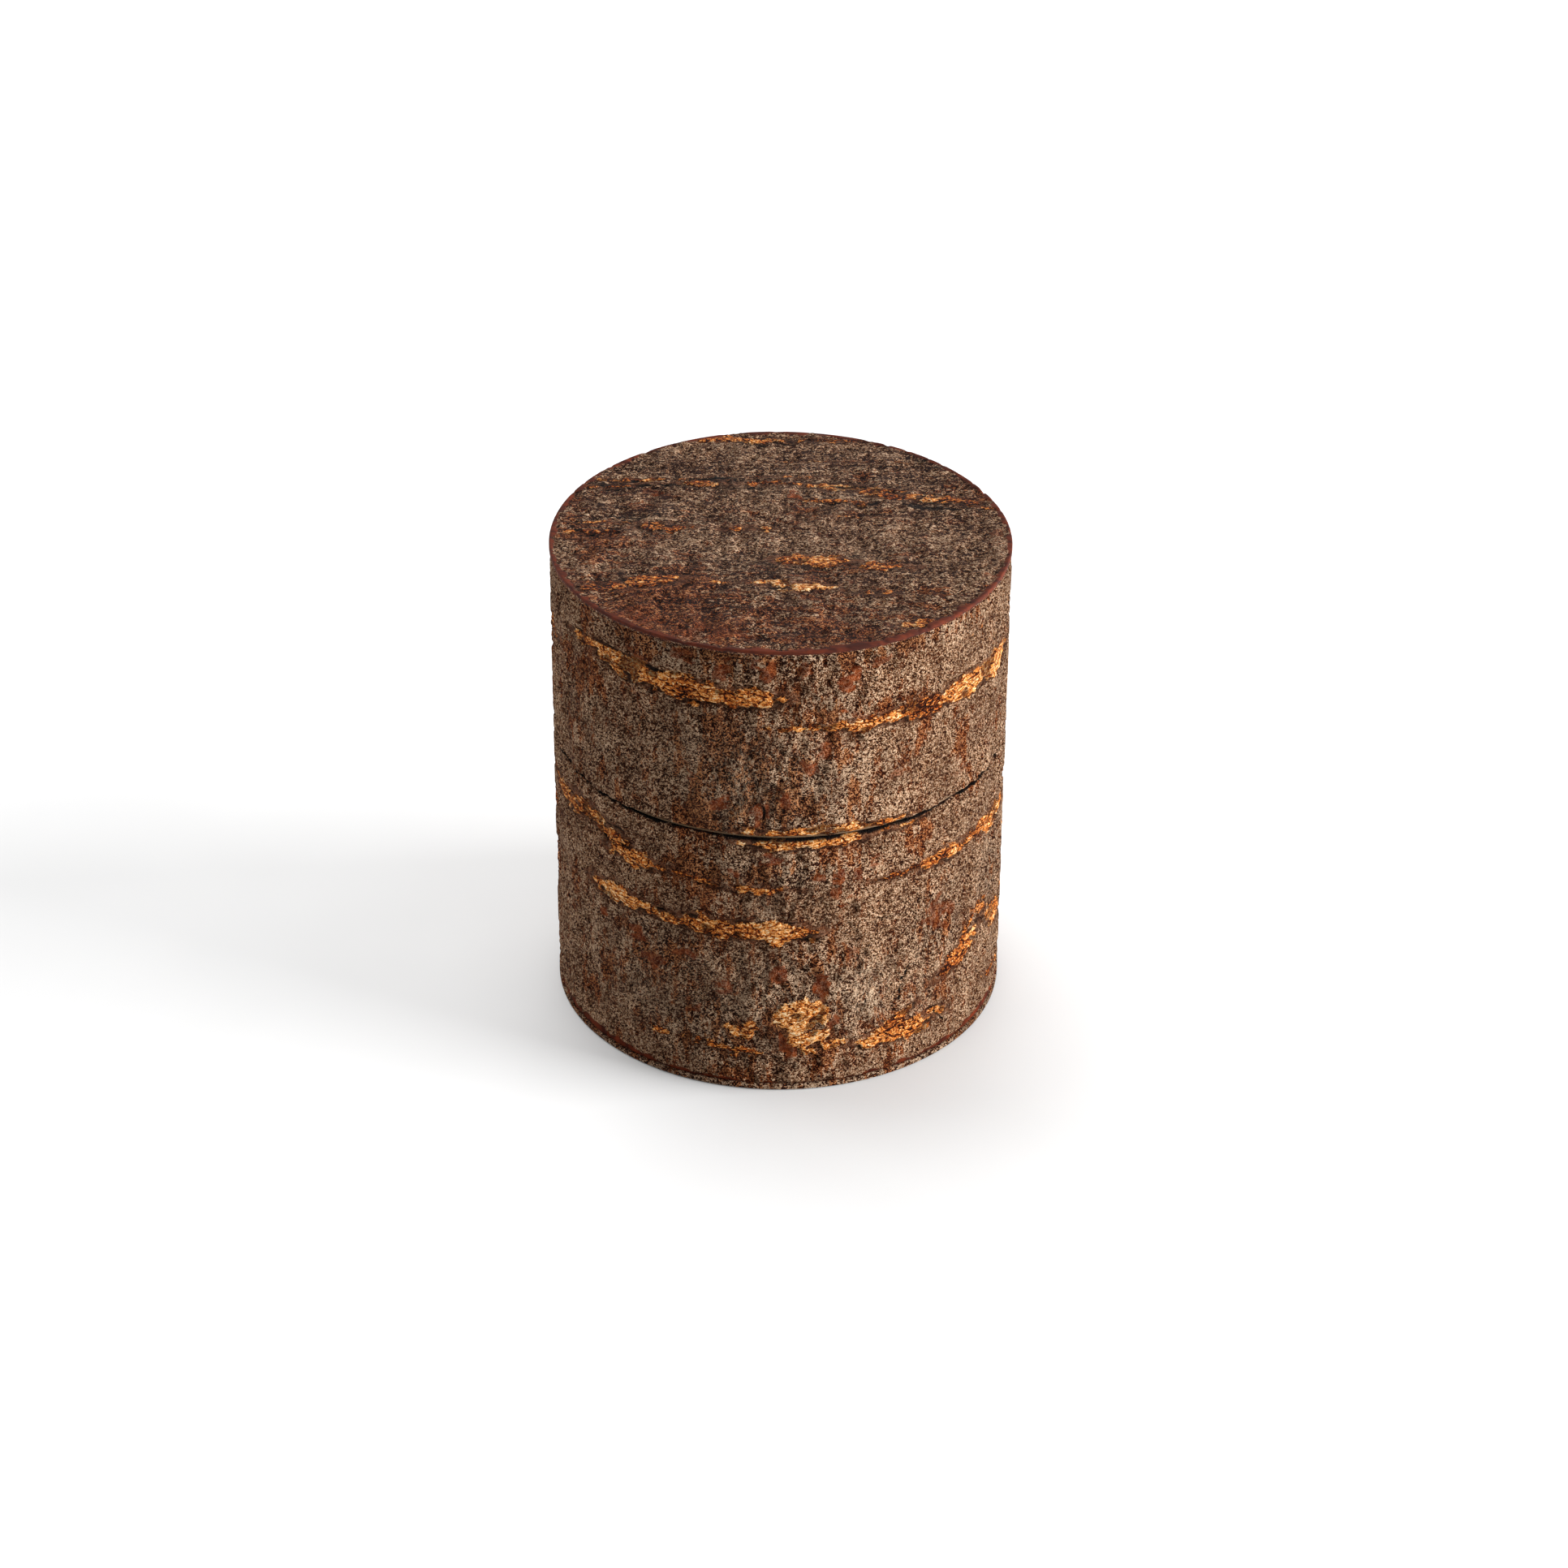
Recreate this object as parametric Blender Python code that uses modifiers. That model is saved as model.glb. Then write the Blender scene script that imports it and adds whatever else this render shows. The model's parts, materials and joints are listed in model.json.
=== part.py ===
"""Round tea caddy, laminated from cherry bark over rolled wood veneer.

The caddy stands on z = 0 with its axis on Z, in metres. The lid slides over the neck
of an inner tube, and a loose inner lid with a knob rests on a ledge inside that neck.
"""

import math

import bpy

# Driving dimensions.
OUTER_RADIUS = 0.0400
HEIGHT = 0.0885
SHOULDER_HEIGHT = 0.0515
NECK_RISE = 0.0220
LEDGE_DEPTH = 0.0060

# Thicknesses of the layers.
ROUGH_BARK = 0.0011
SMOOTH_BARK = 0.0006
DISC_BARK = 0.0010
LID_VENEER = 0.0011
BODY_VENEER = 0.0020
NECK_VENEER = 0.0010
BOARD = 0.0030

# Clearances.
GLUE_GAP = 0.0003
RUNNING_GAP = 0.0003
SEAM_GAP = 0.0004

# Knob of the inner lid.
KNOB_HEIGHT = 0.0084
KNOB_HEAD_RADIUS = 0.0078
KNOB_WAIST_RADIUS = 0.0045
KNOB_FOOT_RADIUS = 0.0060
KNOB_RIM_HEIGHT = 0.0048
KNOB_WAIST_HEIGHT = 0.0022
KNOB_FOOT_HEIGHT = 0.0006
PEG_RADIUS = 0.0015
PEG_IN_KNOB = 0.0050
PEG_IN_BOARD = 0.0024

# Roundings of the edges.
DISC_ROUNDING = 0.0006
SMALL_ROUNDING = 0.0002
ROUNDING_STEPS = 3

# Resolution of the turned pieces.
WALL_STEPS = 64
KNOB_STEPS = 32
SHARP_ANGLE = math.radians(30.0)

# Finishes: colour, roughness and metallic.
ROUGH_BARK_FINISH = ((0.105, 0.075, 0.058), 0.85, 0.0)
POLISHED_BARK_FINISH = ((0.085, 0.020, 0.012), 0.30, 0.0)
VENEER_FINISH = ((0.42, 0.27, 0.15), 0.70, 0.0)
BOARD_FINISH = ((0.50, 0.34, 0.20), 0.65, 0.0)

# Radii, worked out from the outside in.
SLEEVE_INNER = OUTER_RADIUS - ROUGH_BARK
CORE_OUTER = SLEEVE_INNER - GLUE_GAP
LID_CORE_INNER = CORE_OUTER - LID_VENEER
LID_LINING_OUTER = LID_CORE_INNER - GLUE_GAP
LID_LINING_INNER = LID_LINING_OUTER - SMOOTH_BARK
NECK_OUTER = LID_LINING_INNER - RUNNING_GAP
BODY_CORE_INNER = CORE_OUTER - BODY_VENEER
FACING_INNER = NECK_OUTER - SMOOTH_BARK
NECK_CORE_OUTER = FACING_INNER - GLUE_GAP
NECK_CORE_INNER = NECK_CORE_OUTER - NECK_VENEER
NECK_LINING_OUTER = NECK_CORE_INNER - GLUE_GAP
NECK_LINING_INNER = NECK_LINING_OUTER - SMOOTH_BARK

# Heights of the body.
BODY_SLEEVE_BOTTOM = DISC_BARK + GLUE_GAP
BASE_BOARD_TOP = BODY_SLEEVE_BOTTOM + BOARD
NECK_BOTTOM = BASE_BOARD_TOP + GLUE_GAP
NECK_TOP = SHOULDER_HEIGHT + NECK_RISE
LEDGE_HEIGHT = NECK_TOP - LEDGE_DEPTH

# Heights of the lid.
LID_BOTTOM = SHOULDER_HEIGHT + SEAM_GAP
TOP_DISC_BOTTOM = HEIGHT - DISC_BARK
LID_SLEEVE_TOP = TOP_DISC_BOTTOM - GLUE_GAP
TOP_BOARD_BOTTOM = LID_SLEEVE_TOP - BOARD
CEILING_TOP = TOP_BOARD_BOTTOM - GLUE_GAP

# Heights of the inner lid.
INNER_LID_BOTTOM = LEDGE_HEIGHT + RUNNING_GAP
INNER_BOARD_BOTTOM = INNER_LID_BOTTOM + SMOOTH_BARK + GLUE_GAP
INNER_BOARD_TOP = INNER_BOARD_BOTTOM + BOARD
INNER_BARK_BOTTOM = INNER_BOARD_TOP + GLUE_GAP
INNER_LID_TOP = INNER_BARK_BOTTOM + SMOOTH_BARK
KNOB_BOTTOM = INNER_LID_TOP + GLUE_GAP
PEG_HOLE_RADIUS = PEG_RADIUS + GLUE_GAP


def clear_scene():
    """Remove whatever the scene holds."""
    for item in list(bpy.data.objects):
        bpy.data.objects.remove(item, do_unlink=True)


def make_finish(name, finish):
    """One Principled material for one piece."""
    colour, roughness, metallic = finish
    material = bpy.data.materials.new(name)
    material.use_nodes = True
    shader = material.node_tree.nodes["Principled BSDF"]
    shader.inputs["Base Color"].default_value = (*colour, 1.0)
    shader.inputs["Roughness"].default_value = roughness
    shader.inputs["Metallic"].default_value = metallic
    material.diffuse_color = (*colour, 1.0)
    return material


def rounded_corner(radius, height, rounding, sides):
    """Points round one outline corner, where sides gives the directions to its centre."""
    to_axis, upward = sides
    centre_radius = radius + to_axis * rounding
    centre_height = height + upward * rounding
    points = []
    for step in range(ROUNDING_STEPS + 1):
        turn = math.pi / 2.0 * step / ROUNDING_STEPS
        along, across = math.sin(turn), math.cos(turn)
        if upward > 0:
            along, across = across, along
        point_radius = centre_radius - to_axis * rounding * along
        point_height = centre_height - upward * rounding * across
        points.append((point_radius, point_height))
    return points


def outer_wall(radius, bottom, top, bottom_rounding=0.0, top_rounding=0.0):
    """The outer side of an outline, from its top corner down to its bottom corner."""
    points = []
    if top_rounding:
        points += rounded_corner(radius, top, top_rounding, (-1, -1))
    else:
        points.append((radius, top))
    if bottom_rounding:
        points += rounded_corner(radius, bottom, bottom_rounding, (-1, 1))
    else:
        points.append((radius, bottom))
    return points


def tube_outline(inner, outer, bottom, top, **roundings):
    """Closed outline of a tube's wall."""
    return outer_wall(outer, bottom, top, **roundings) + [(inner, bottom), (inner, top)]


def disc_outline(radius, bottom, top, **roundings):
    """Open outline of a disc, from the axis round to the axis."""
    return [(0.0, top)] + outer_wall(radius, bottom, top, **roundings) + [(0.0, bottom)]


def turned_piece(name, outline, finish, assembly, steps=WALL_STEPS):
    """Turn an outline of (radius, height) points about Z into one solid."""
    base = min(height for _, height in outline)
    points = [(radius, 0.0, height - base) for radius, height in outline]
    edges = [(index, index + 1) for index in range(len(points) - 1)]
    if outline[0][0] > 0.0:
        edges.append((len(points) - 1, 0))

    profile = bpy.data.meshes.new(name + "_profile")
    profile.from_pydata(points, edges, [])
    piece = bpy.data.objects.new(name, profile)
    bpy.data.collections["tea_caddy"].objects.link(piece)

    screw = piece.modifiers.new("turn", "SCREW")
    screw.axis = "Z"
    screw.angle = math.tau
    screw.steps = steps
    screw.render_steps = steps
    screw.use_merge_vertices = True
    screw.merge_threshold = 0.00001

    solid = bpy.data.meshes.new_from_object(piece.evaluated_get(bpy.context.evaluated_depsgraph_get()))
    solid.name = name
    piece.modifiers.clear()
    piece.data = solid
    bpy.data.meshes.remove(profile)

    solid.shade_smooth()
    solid.set_sharp_from_angle(angle=SHARP_ANGLE)
    solid.materials.clear()
    solid.materials.append(make_finish(name, finish))
    piece.parent = assembly
    piece.location.z = base - assembly.location.z
    return piece


def make_assembly(name, height):
    """An empty on the caddy's axis that carries one assembly's pieces."""
    assembly = bpy.data.objects.new(name, None)
    assembly.location.z = height
    assembly.empty_display_size = OUTER_RADIUS
    bpy.data.collections["tea_caddy"].objects.link(assembly)
    return assembly


def build_body():
    """Outer sleeve, inner tube with its neck, and the base."""
    body = make_assembly("body_assembly", 0.0)
    turned_piece(
        "base_bark",
        disc_outline(OUTER_RADIUS, 0.0, DISC_BARK, bottom_rounding=DISC_ROUNDING),
        POLISHED_BARK_FINISH, body)
    turned_piece(
        "base_board",
        disc_outline(BODY_CORE_INNER - GLUE_GAP, BODY_SLEEVE_BOTTOM, BASE_BOARD_TOP),
        BOARD_FINISH, body)
    turned_piece(
        "body_outer_bark",
        tube_outline(SLEEVE_INNER, OUTER_RADIUS, BODY_SLEEVE_BOTTOM, SHOULDER_HEIGHT,
                     top_rounding=SMALL_ROUNDING),
        ROUGH_BARK_FINISH, body)
    turned_piece(
        "body_core_tube",
        tube_outline(BODY_CORE_INNER, CORE_OUTER, BODY_SLEEVE_BOTTOM, SHOULDER_HEIGHT),
        VENEER_FINISH, body)
    turned_piece(
        "neck_facing",
        tube_outline(FACING_INNER, NECK_OUTER, NECK_BOTTOM, NECK_TOP, top_rounding=SMALL_ROUNDING),
        POLISHED_BARK_FINISH, body)
    turned_piece(
        "inner_tube_core",
        tube_outline(NECK_CORE_INNER, NECK_CORE_OUTER, NECK_BOTTOM, NECK_TOP),
        VENEER_FINISH, body)
    turned_piece(
        "inner_tube_lining",
        tube_outline(NECK_LINING_INNER, NECK_LINING_OUTER, NECK_BOTTOM, LEDGE_HEIGHT),
        POLISHED_BARK_FINISH, body)
    turned_piece(
        "floor_bark",
        disc_outline(NECK_LINING_INNER - GLUE_GAP, NECK_BOTTOM, NECK_BOTTOM + SMOOTH_BARK),
        POLISHED_BARK_FINISH, body)


def build_lid():
    """Sleeve, core, lining, board and bark discs of the outer lid."""
    lid = make_assembly("lid_assembly", LID_BOTTOM)
    turned_piece(
        "lid_outer_bark",
        tube_outline(SLEEVE_INNER, OUTER_RADIUS, LID_BOTTOM, LID_SLEEVE_TOP,
                     bottom_rounding=SMALL_ROUNDING),
        ROUGH_BARK_FINISH, lid)
    turned_piece(
        "lid_core_tube",
        tube_outline(LID_CORE_INNER, CORE_OUTER, LID_BOTTOM, LID_SLEEVE_TOP),
        VENEER_FINISH, lid)
    turned_piece(
        "lid_lining",
        tube_outline(LID_LINING_INNER, LID_LINING_OUTER, LID_BOTTOM, CEILING_TOP),
        POLISHED_BARK_FINISH, lid)
    turned_piece(
        "lid_top_board",
        disc_outline(LID_CORE_INNER - GLUE_GAP, TOP_BOARD_BOTTOM, LID_SLEEVE_TOP),
        BOARD_FINISH, lid)
    turned_piece(
        "lid_ceiling_bark",
        disc_outline(LID_LINING_INNER - GLUE_GAP, CEILING_TOP - SMOOTH_BARK, CEILING_TOP),
        POLISHED_BARK_FINISH, lid)
    turned_piece(
        "lid_top_bark",
        disc_outline(OUTER_RADIUS, TOP_DISC_BOTTOM, HEIGHT, top_rounding=DISC_ROUNDING),
        ROUGH_BARK_FINISH, lid)


def knob_outline():
    """Domed head, waist and flared foot, with a blind hole for the peg."""
    rim = KNOB_BOTTOM + KNOB_RIM_HEIGHT
    top = KNOB_BOTTOM + KNOB_HEIGHT
    waist = KNOB_BOTTOM + KNOB_WAIST_HEIGHT
    dome_steps = 8
    points = []
    for step in range(dome_steps + 1):
        turn = math.pi / 2.0 * step / dome_steps
        points.append((KNOB_HEAD_RADIUS * math.sin(turn), rim + (top - rim) * math.cos(turn)))
    flare_steps = 6
    for step in range(1, flare_steps + 1):
        turn = math.pi / 2.0 * step / flare_steps
        reach = (KNOB_HEAD_RADIUS - KNOB_WAIST_RADIUS) * math.cos(turn)
        points.append((KNOB_WAIST_RADIUS + reach, rim - (rim - waist) * math.sin(turn)))
    points.append((KNOB_FOOT_RADIUS, KNOB_BOTTOM + KNOB_FOOT_HEIGHT))
    points.append((KNOB_FOOT_RADIUS, KNOB_BOTTOM))
    points.append((PEG_HOLE_RADIUS, KNOB_BOTTOM))
    points.append((PEG_HOLE_RADIUS, KNOB_BOTTOM + PEG_IN_KNOB + GLUE_GAP))
    points.append((0.0, KNOB_BOTTOM + PEG_IN_KNOB + GLUE_GAP))
    return points


def build_inner_lid():
    """Stopper disc that rests on the ledge in the neck, with its knob and peg."""
    inner_lid = make_assembly("inner_lid_assembly", INNER_LID_BOTTOM)
    disc_radius = NECK_LINING_INNER - GLUE_GAP
    peg_bottom = INNER_BOARD_TOP - PEG_IN_BOARD
    hole_bottom = peg_bottom - GLUE_GAP
    turned_piece(
        "inner_lid_edge_band",
        tube_outline(NECK_LINING_INNER, NECK_CORE_INNER - RUNNING_GAP, INNER_LID_BOTTOM, INNER_LID_TOP,
                     top_rounding=SMALL_ROUNDING, bottom_rounding=SMALL_ROUNDING),
        POLISHED_BARK_FINISH, inner_lid)
    turned_piece(
        "inner_lid_underside_bark",
        disc_outline(disc_radius, INNER_LID_BOTTOM, INNER_LID_BOTTOM + SMOOTH_BARK),
        POLISHED_BARK_FINISH, inner_lid)
    board = [(0.0, hole_bottom), (PEG_HOLE_RADIUS, hole_bottom), (PEG_HOLE_RADIUS, INNER_BOARD_TOP)]
    board += outer_wall(disc_radius, INNER_BOARD_BOTTOM, INNER_BOARD_TOP)
    board += [(0.0, INNER_BOARD_BOTTOM)]
    turned_piece("inner_lid_board", board, BOARD_FINISH, inner_lid)
    turned_piece(
        "inner_lid_top_bark",
        tube_outline(PEG_HOLE_RADIUS, disc_radius, INNER_BARK_BOTTOM, INNER_LID_TOP),
        POLISHED_BARK_FINISH, inner_lid)
    turned_piece("inner_lid_knob", knob_outline(), POLISHED_BARK_FINISH, inner_lid, KNOB_STEPS)
    turned_piece(
        "knob_peg",
        disc_outline(PEG_RADIUS, peg_bottom, KNOB_BOTTOM + PEG_IN_KNOB),
        VENEER_FINISH, inner_lid, KNOB_STEPS)


def main():
    """Build the whole caddy."""
    clear_scene()
    bpy.context.scene.collection.children.link(bpy.data.collections.new("tea_caddy"))
    build_body()
    build_lid()
    build_inner_lid()


main()
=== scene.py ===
"""Looks of the cherry-bark tea caddy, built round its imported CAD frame."""

import json
import math

import bpy
import numpy as np
from mathutils import Matrix, Vector


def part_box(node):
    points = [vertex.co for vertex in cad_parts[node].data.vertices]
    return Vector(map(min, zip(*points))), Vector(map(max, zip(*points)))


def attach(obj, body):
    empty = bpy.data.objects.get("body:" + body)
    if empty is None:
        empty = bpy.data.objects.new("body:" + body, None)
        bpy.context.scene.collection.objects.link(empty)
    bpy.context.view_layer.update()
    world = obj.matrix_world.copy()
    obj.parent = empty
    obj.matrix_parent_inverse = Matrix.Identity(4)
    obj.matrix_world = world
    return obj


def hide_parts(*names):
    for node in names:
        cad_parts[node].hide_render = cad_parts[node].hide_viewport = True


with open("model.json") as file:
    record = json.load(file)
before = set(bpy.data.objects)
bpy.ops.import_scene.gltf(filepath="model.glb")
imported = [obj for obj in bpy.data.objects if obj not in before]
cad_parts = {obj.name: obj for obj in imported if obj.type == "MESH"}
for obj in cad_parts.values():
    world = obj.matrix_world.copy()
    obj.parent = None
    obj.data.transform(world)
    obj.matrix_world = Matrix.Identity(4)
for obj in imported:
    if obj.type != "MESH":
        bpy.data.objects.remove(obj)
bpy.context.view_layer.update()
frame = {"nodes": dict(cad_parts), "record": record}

MM = 0.001
SEED = 7

# Sizes read from the frame (mm).
LID_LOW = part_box("lid_outer_bark")[0].z / MM
BODY_LOW, BODY_HIGH = (corner.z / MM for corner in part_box("body_outer_bark"))
TOP_LOW, TOP_HIGH = (corner.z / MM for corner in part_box("lid_top_bark"))
BASE_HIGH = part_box("base_bark")[1].z / MM
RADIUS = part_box("lid_outer_bark")[1].x / MM
SEAM = (LID_LOW + BODY_HIGH) / 2.0
SLEEVE_THICKNESS = 1.1

# Thicknesses of the turned tubes (mm).
NECK_FACING_THICKNESS = 0.6
INNER_CORE_THICKNESS = 1.0
LINING_THICKNESS = 0.6
BODY_CORE_THICKNESS = 2.0
LID_CORE_THICKNESS = 1.1

# Where the ends of the bark sheet meet, at the back.
LAP_ANGLE = 178.0
MM_PER_DEGREE = RADIUS * math.pi / 180.0

# Camera: angles in degrees, place in metres before it is tilted, focal length in millimetres.
CAMERA_ELEVATION = 31.59
CAMERA_ROLL = 0.36
CAMERA_OFFSET = (0.00104, 0.0326, 0.8)
CAMERA_LENS = 100.3
SENSOR_WIDTH = 36.0

# Lights: degrees right of the front, degrees up, distance and size (m), power (W).
LIGHTS = {
    "key": (80.0, 4.5, 1.3, 0.8, 74.0),
    "overhead": (200.0, 60.0, 1.8, 1.6, 26.0),
    "edge": (-112.0, 20.0, 1.3, 0.6, 5.0),
}
LIGHT_TARGET = Vector((0.0, 0.0, 0.04))
WORLD_STRENGTH = 0.6
FLOOR_SIZE = 8.0
FLOOR_DROP = 0.0002

# Fineness of the bark meshes and of their noise (mm), cells across the top, steps over its rim.
SLEEVE_CELL = 0.365
NOISE_CELL = 0.3
TOP_CELLS = 280
RIM_STEPS = 9

# Lengths of bark sheet that the noise covers before it repeats (mm).
SIDE_SHEET_HEIGHT = 96.0
TOP_SHEET_SIZE = 90.0

# How far the bark's middle level lies under the CAD surface, its deepest and its highest point (mm).
SIDE_SKIN = 0.26
TOP_SKIN = 0.3
DEEPEST = 0.9
CLEARANCE = 0.004
RIM_INSET = 0.02

# The bark finish: the level that contrast spreads from, and the depth of its bump (mm).
MID_LEVEL = 0.42
BARK_BUMP = 0.8

# Turned pieces: points round them, and the radius where a disc's face closes (mm).
TURNED_SEGMENTS = 256
HEART = 0.4

# Lenticels on the side: angle (degrees right of the front), height, half length, half height (mm),
# tilt (mm per mm), tone, from 0 dark red-brown through 0.5 orange to 1 cream, and how solid it is.
SIDE_LENTICELS = [
    # Lid, upper left.
    (-53, 80.6, 6, 1.1, 0.05, 0.62, 0.8),
    (-40, 79.9, 9, 2.3, 0, 0.68, 0.9),
    (-24, 79.2, 12, 2.5, 0, 0.58, 1),
    (-8, 79, 7.5, 2.1, 0.02, 0.56, 0.8),
    # Lid, upper right.
    (5, 73.4, 9.5, 0.8, 0, 0.42, 0.4),
    (21, 73.1, 7.5, 1.2, 0, 0.74, 0.9),
    (27.3, 73.6, 2, 1.1, 0, 0.52, 1),
    (38, 72.9, 8, 1.9, 0, 0.3, 1),
    (53, 73.2, 8.5, 2.4, 0, 0.66, 0.9),
    (68, 72.6, 8, 2.7, 0, 0.7, 0.8),
    (57, 82.2, 7, 0.35, 0, 0.6, 0.5),
    # Along the line between lid and body.
    (12, 52.6, 16, 1.4, 0, 0.58, 0.9),
    (8, 50.6, 13, 1.2, 0, 0.62, 0.9),
    (30, 50.9, 5.5, 0.6, 0, 0.35, 0.9),
    # Body, upper left.
    (-55, 46.6, 7, 1.9, -0.06, 0.66, 0.9),
    (-68, 45, 7, 2, 0, 0.58, 0.8),
    (-46, 44.6, 5, 1.4, -0.1, 0.44, 1),
    (-39.5, 42.2, 6, 1.9, 0, 0.6, 0.8),
    (-24, 42.3, 9, 1, 0, 0.42, 0.5),
    (-8, 41.5, 9.6, 1, -0.02, 0.56, 0.6),
    # Body, the long row below.
    (-44.5, 33.2, 8, 2.2, 0, 0.8, 0.8),
    (-30.5, 32.7, 4.4, 1.1, 0, 0.56, 0.8),
    (-17, 33, 10, 2.1, 0, 0.52, 1),
    (-2, 32.7, 8.6, 2.4, 0, 0.62, 1),
    # Body, upper right.
    (33, 41.3, 7, 0.7, 0.02, 0.34, 0.8),
    (48, 41.2, 7.4, 1.9, 0, 0.64, 0.8),
    (59, 41.8, 4.6, 1.4, 0, 0.36, 0.8),
    (70, 40.8, 7.6, 2.3, -0.04, 0.64, 0.7),
    # Body, low on the right.
    (53.5, 18.2, 6.4, 2.5, 0.3, 0.54, 0.7),
    (57, 22.5, 3.4, 1.3, 0.9, 0.52, 0.6),
    (64, 24, 4.2, 1.8, -0.4, 0.44, 0.4),
    (74, 19, 5.2, 3, -0.3, 0.56, 0.6),
    (74, 6.5, 5.6, 1.5, -0.2, 0.5, 0.5),
    (33.5, 8.2, 10, 2.1, 0.05, 0.64, 0.9),
    (30.5, 10.4, 4, 1.5, 0.5, 0.6, 0.8),
    # Body, low at the front.
    (6, 15.2, 5.4, 4.8, 0, 0.9, 0.35),
    (8, 10.8, 5, 2.8, 0, 0.66, 0.4),
    (-7.3, 12.6, 4.6, 1.6, 0, 0.76, 0.4),
    (13, 9.2, 3.2, 1.5, 0, 0.5, 0.4),
    (-8, 7.6, 3.6, 1.3, 0, 0.45, 0.4),
    (-18, 8, 5.6, 1.2, 0, 0.48, 0.3),
    (-30, 8.6, 5, 1, 0, 0.5, 0.3),
]

# Rust-red patches on the side: angle, height, half length, half height, strength.
SIDE_RUST = [
    (17, 81.7, 2.2, 2, 1), (15.5, 76.7, 1.1, 0.7, 0.9), (7.5, 65.2, 1.7, 1.4, 0.9),
    (13.5, 63.2, 1.1, 0.7, 0.8), (20, 74, 1.6, 1.2, 0.5), (-14.5, 58, 1.7, 1.1, 1),
    (-5, 56.8, 2, 2.4, 0.8), (-38, 27.2, 2, 1.5, 0.8), (-50, 28.2, 1, 1.4, 0.9),
    (-33, 22.8, 2.8, 1.8, 0.7), (44.5, 29, 4.2, 3, 0.6), (11, 21, 1.5, 3.4, 1),
    (-22, 62, 1.3, 1, 0.7), (1, 60.5, 1.4, 1.8, 0.8), (11, 68, 1.2, 1.5, 0.6),
    (-2, 47, 2.2, 0.9, 0.8), (-12, 44.4, 1.8, 0.8, 0.7), (24, 44.6, 1.4, 1, 0.7),
    (-24, 26.5, 2.4, 1.3, 0.8), (-14, 21, 1.8, 1.2, 0.7), (0, 24, 1.6, 2.2, 0.8),
    (2.5, 9, 1.6, 1.8, 0.9), (14, 13.4, 1.2, 1.8, 0.9), (19, 27, 1.5, 1.1, 0.5),
    (-22, 14.6, 1.8, 1.2, 0.6), (60, 62, 2.2, 1, 0.4), (30, 61, 1.8, 1, 0.5),
    (10, 44, 1.2, 1.1, 0.7), (15, 43.6, 1.2, 1.4, 0.8), (20, 43.9, 1, 1.2, 0.7),
    (15.5, 39.3, 2.1, 1.7, 0.7), (27, 84.5, 3, 1.2, 0.6), (-38, 83, 3, 0.8, 0.5),
    (50, 57, 2.2, 1, 0.4), (-24, 85.6, 2.6, 1, 0.6), (-14, 84.4, 1.8, 1.4, 0.7),
    (-4, 85.4, 2.2, 1.2, 0.7), (6, 84, 1.6, 1.2, 0.6), (36, 66, 3.4, 1.4, 0.3),
]

# Regions of the side with pale wandering fibres, in the same form.
SIDE_PALE = [
    (-9, 63, 7, 9, 0.8), (-20, 66, 5, 8, 0.4), (5, 64, 5, 7, 0.4), (24, 18.5, 4.2, 8, 1),
    (37, 15, 4, 6, 0.6), (-3, 36, 2, 3, 0.8), (-36, 17, 6, 8, 0.5), (-12, 22, 8, 8, 0.4),
]

# Regions of the side where the grey skin has worn through to red-brown bark; in them the colour contrast
# also rises, as painted shade and highlight of the low light on the relief.
SIDE_BARED_AND_PAINTED_RELIEF = [
    (-5, 60, 16, 9, 0.66), (-15, 70, 14, 9, 0.38), (-42, 62, 18, 12, 0.24),
    (-40, 20, 20, 14, 0.24), (-12, 86.5, 22, 3.2, 0.6), (30, 86.8, 16, 2, 0.45),
    (12, 77.5, 7, 5, 0.3), (17, 66, 6, 12, 0.22), (-32, 26, 10, 6, 0.48), (-5, 44, 16, 4, 0.52),
    (5, 18, 11, 12, 0.48), (-15, 12, 16, 8, 0.48), (43, 27, 8, 8, 0.35), (70, 30, 8, 10, 0.25),
    (150, 60, 20, 12, 0.35), (215, 30, 24, 12, 0.35), (190, 84, 30, 5, 0.35),
]

# Regions of the side with fine furrows running round the trunk.
SIDE_FURROWED = [
    (26, 34, 12, 5, 0.5), (-40, 80, 10, 4, 0.5), (35, 75, 14, 2.5, 0.6), (-60, 46, 10, 4, 0.6),
    (0, 51.5, 26, 1.6, 0.7),
]

# Dark open cracks down the side: angle, top and bottom height, half width (mm), drift (degrees),
# strength.
DARK_CRACKS = [
    (34.5, 22, 18.5, 0.3, -3, 1), (32.6, 18.2, 14.6, 0.34, -2, 1),
    (31.8, 14.2, 10.6, 0.3, 3.5, 1), (40.5, 17, 13.8, 0.26, 3, 1),
    (42.5, 13.2, 11, 0.24, -2, 0.9), (44.5, 10.5, 5.8, 0.26, 3, 1), (23, 22, 15, 0.2, -3, 0.8),
    (20.5, 17, 11, 0.18, 2, 0.7), (28, 27, 22, 0.16, 2, 0.7), (-4.5, 58.5, 55.2, 0.5, 1, 0.8),
    (-13, 66, 61, 0.22, 3, 0.8), (-8.5, 69, 65.5, 0.18, -3, 0.7),
    (22.5, 54.6, 52.2, 0.45, 4, 0.9),
]

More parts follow.
